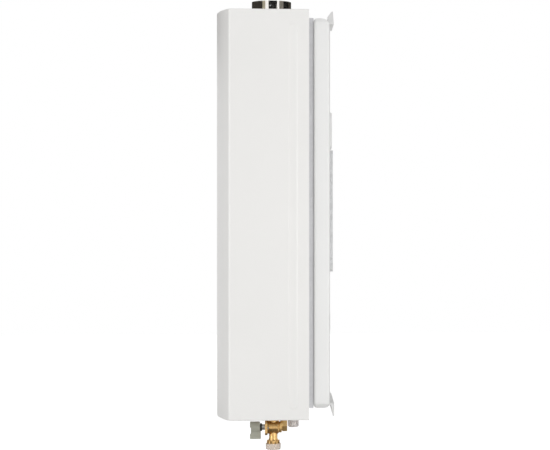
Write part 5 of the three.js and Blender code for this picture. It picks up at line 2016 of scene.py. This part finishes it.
@dataclass
class Studio:
    """The floor, the flags, the glow panels, the lamps, the world and the camera.

    Sizes are in metres. The flags stand in rings round the flue's axis. Only surfaces that
    mirror show the flags and the panels.
    """

    eye: Point = (2.635, -0.0884, -0.2733)
    lens: float = 112.09
    sensor: float = 36.0
    clip: tuple[float, float] = (0.05, 50.0)
    yaw: float = 4.5
    shift: tuple[float, float] = (-0.2451, -0.03622)
    floor_level: float = -1.0
    floor_half: float = 7.0
    flag_reach: float = 1.8
    flag_middle: float = -0.0938
    flag_degrees: float = 10.0
    rings: tuple[FlagRing, ...] = (
        FlagRing("flag_right", "flag_grey", 46.0, 74.0, (0.10, 0.46)),
        FlagRing("flag_wall", "flag_black", 74.0, 118.0, (0.10, 0.46)),
        FlagRing("flag_behind", "flag_umber", 118.0, 306.0, (0.10, 0.46)),
        FlagRing("flag_beige", "flag_beige", -54.0, -36.0, (0.10, 0.46)),
        FlagRing("flag_eye", "flag_black", -17.0, 33.0, (0.10, 0.46)),
        FlagRing("flag_round", "flag_umber", 58.0, 296.0, (-0.98, -0.815)),
    )
    glow_front: tuple[Place, Place] = ((0.62, -0.60), (0.44, -0.74))
    glow_wall: tuple[Place, Place] = ((0.74, 0.27), (0.60, 0.44))
    glow_levels: tuple[float, float, float] = (-0.655, -0.64, 0.06)
    below: tuple[Place, Place] = ((-0.5, -0.7), (1.3, 0.5))
    below_rise: float = 0.01
    fill: float = 0.56
    lean: Point = (0.22, -0.16, 0.0)
    lamps: tuple[SoftBox, ...] = (
        SoftBox("side_box", (3.33, 0.57, -0.28), (0.1, -0.1, -0.28), (1.6, 1.4), 25.0),
        SoftBox("front_box", (2.63, -2.22, -0.28), (0.1, -0.1, -0.28), (1.6, 1.4), 7.0),
        SoftBox("top_box", (0.2, 0.3, 2.4), (0.0, -0.1, -0.2), (1.6, 1.6), 3.0),
    )

    def camera(self) -> None:
        """Sets up the level camera that looks past the heater's right side."""
        data = bpy.data.cameras.new("view")
        data.sensor_width = self.sensor
        data.lens = self.lens
        data.shift_x, data.shift_y = self.shift
        data.clip_start, data.clip_end = self.clip
        camera = bpy.data.objects.new("view", data)
        camera.location = self.eye
        camera.rotation_euler = (math.pi / 2, 0.0, math.pi / 2 - math.radians(self.yaw))
        bpy.context.scene.collection.objects.link(camera)
        bpy.context.scene.camera = camera

    def lamp(self, box: SoftBox) -> None:
        """Hangs a soft box.

        Args:
            box: Its name, place, target, size and power.
        """
        data = bpy.data.lights.new(box.name, "AREA")
        data.shape = "RECTANGLE"
        data.size, data.size_y = box.size
        data.energy = box.watts
        lamp = bpy.data.objects.new(box.name, data)
        lamp.visible_glossy = False
        lamp.location = box.place
        towards = Vector(box.target) - Vector(box.place)
        lamp.rotation_euler = towards.to_track_quat("-Z", "Y").to_euler()
        bpy.context.scene.collection.objects.link(lamp)

    def floor(self) -> None:
        """Lays the pale floor."""
        bm = bmesh.new()
        bmesh.ops.create_grid(bm, x_segments=4, y_segments=4, size=self.floor_half)
        bmesh.ops.translate(bm, verts=bm.verts[:], vec=(0.0, 0.0, self.floor_level))
        mesh = bpy.data.meshes.new("studio_floor")
        bm.to_mesh(mesh)
        bm.free()
        mesh.materials.append(Finishes.get("studio_paper"))
        floor = bpy.data.objects.new("studio_floor", mesh)
        bpy.context.scene.collection.objects.link(floor)

    def flag(self, name: str, finish: str, corners: Sequence[Point]) -> None:
        """Hangs a flag that only shows in bright metal.

        Args:
            name: Its name.
            finish: The name of its finish.
            corners: Its corners in order.
        """
        bm = bmesh.new()
        bm.faces.new([bm.verts.new(corner) for corner in corners])
        mesh = bpy.data.meshes.new(name)
        bm.to_mesh(mesh)
        bm.free()
        mesh.materials.append(Finishes.get(finish))
        flag = bpy.data.objects.new(name, mesh)
        bpy.context.scene.collection.objects.link(flag)
        flag.visible_camera = False
        flag.visible_diffuse = False
        flag.visible_transmission = False
        flag.visible_shadow = False

    def upright(
        self, name: str, finish: str, ends: tuple[Place, Place], low: float, high: float
    ) -> None:
        """Hangs an upright flag.

        Args:
            name: Its name.
            finish: The name of its finish.
            ends: The X and Y of its two sides.
            low: The level of its lower edge.
            high: The level of its upper edge.
        """
        (x0, y0), (x1, y1) = ends
        self.flag(name, finish, ((x0, y0, low), (x1, y1, low), (x1, y1, high), (x0, y0, high)))

    def ring(self, flags: FlagRing) -> None:
        """Hangs the flags of one ring.

        Args:
            flags: The ring.
        """
        span = flags.end - flags.start
        count = max(2, round(span / self.flag_degrees))
        for step in range(count):
            angles = [math.radians(flags.start + span * part / count) for part in (step, step + 1)]
            first, second = [
                (self.flag_reach * math.cos(a), self.flag_reach * math.sin(a) + self.flag_middle)
                for a in angles
            ]
            self.upright(f"{flags.name}_{step}", flags.finish, (first, second), *flags.levels)

    def flags(self) -> None:
        """Hangs flags round the flue and the valve, lights two panels and lays a flag below."""
        for flags in self.rings:
            self.ring(flags)
        low_front, low_wall, top = self.glow_levels
        self.upright("glow_front", "glow_panel", self.glow_front, low_front, top)
        self.upright("glow_wall", "glow_panel", self.glow_wall, low_wall, top)
        (left, near), (right, far) = self.below
        level = self.floor_level + self.below_rise
        self.flag(
            "flag_below",
            "flag_grey",
            ((left, near, level), (right, near, level), (right, far, level), (left, far, level)),
        )

    def world(self) -> None:
        """Fills the room with soft light, white where it is seen straight or in metal and glass.

        The fill is how strongly the room lights dull surfaces on average, and the lean how much
        stronger that light is from each direction.
        """
        world = bpy.data.worlds.new("studio_air")
        bpy.context.scene.world = world
        world.use_nodes = True
        tree = world.node_tree
        tree.nodes.clear()
        rays = tree.nodes.new("ShaderNodeLightPath")
        seen = tree.nodes.new("ShaderNodeMath")
        seen.operation = "MAXIMUM"
        any_of = tree.nodes.new("ShaderNodeMath")
        any_of.operation = "MAXIMUM"
        way = tree.nodes.new("ShaderNodeTexCoord").outputs["Generated"]
        along = tree.nodes.new("ShaderNodeVectorMath")
        along.operation = "DOT_PRODUCT"
        along.inputs[1].default_value = self.lean
        level = tree.nodes.new("ShaderNodeMath")
        level.operation = "ADD"
        level.inputs[1].default_value = self.fill
        share = tree.nodes.new("ShaderNodeMapRange")
        tree.links.new(way, along.inputs[0])
        tree.links.new(along.outputs["Value"], level.inputs[0])
        tree.links.new(level.outputs[0], share.inputs["To Min"])
        share.inputs["To Max"].default_value = 1.0
        air = tree.nodes.new("ShaderNodeBackground")
        air.inputs["Color"].default_value = (1.0, 1.0, 1.0, 1.0)
        out = tree.nodes.new("ShaderNodeOutputWorld")
        tree.links.new(rays.outputs["Is Camera Ray"], seen.inputs[0])
        tree.links.new(rays.outputs["Is Glossy Ray"], seen.inputs[1])
        tree.links.new(seen.outputs[0], any_of.inputs[0])
        tree.links.new(rays.outputs["Is Transmission Ray"], any_of.inputs[1])
        tree.links.new(any_of.outputs[0], share.inputs["Value"])
        tree.links.new(share.outputs["Result"], air.inputs["Strength"])
        tree.links.new(air.outputs["Background"], out.inputs["Surface"])

    def build(self) -> None:
        """Sets the whole studio up."""
        bpy.context.scene.view_settings.view_transform = "Standard"
        self.camera()
        self.floor()
        self.flags()
        self.world()
        for box in self.lamps:
            self.lamp(box)


def main() -> None:
    """Builds the heater and the studio round it."""
    logging.basicConfig(level=logging.INFO, format="%(name)s: %(message)s")
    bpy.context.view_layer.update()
    Studio().build()
    Interior().build()
    for assembly in (Casing(), RearPan(), Flue(), Fittings(), InletValve(), ControlPanel()):
        pieces = assembly.build()
        LOG.info("%s: %d pieces", type(assembly).__name__, len(pieces))


if __name__ == "__main__":
    main()
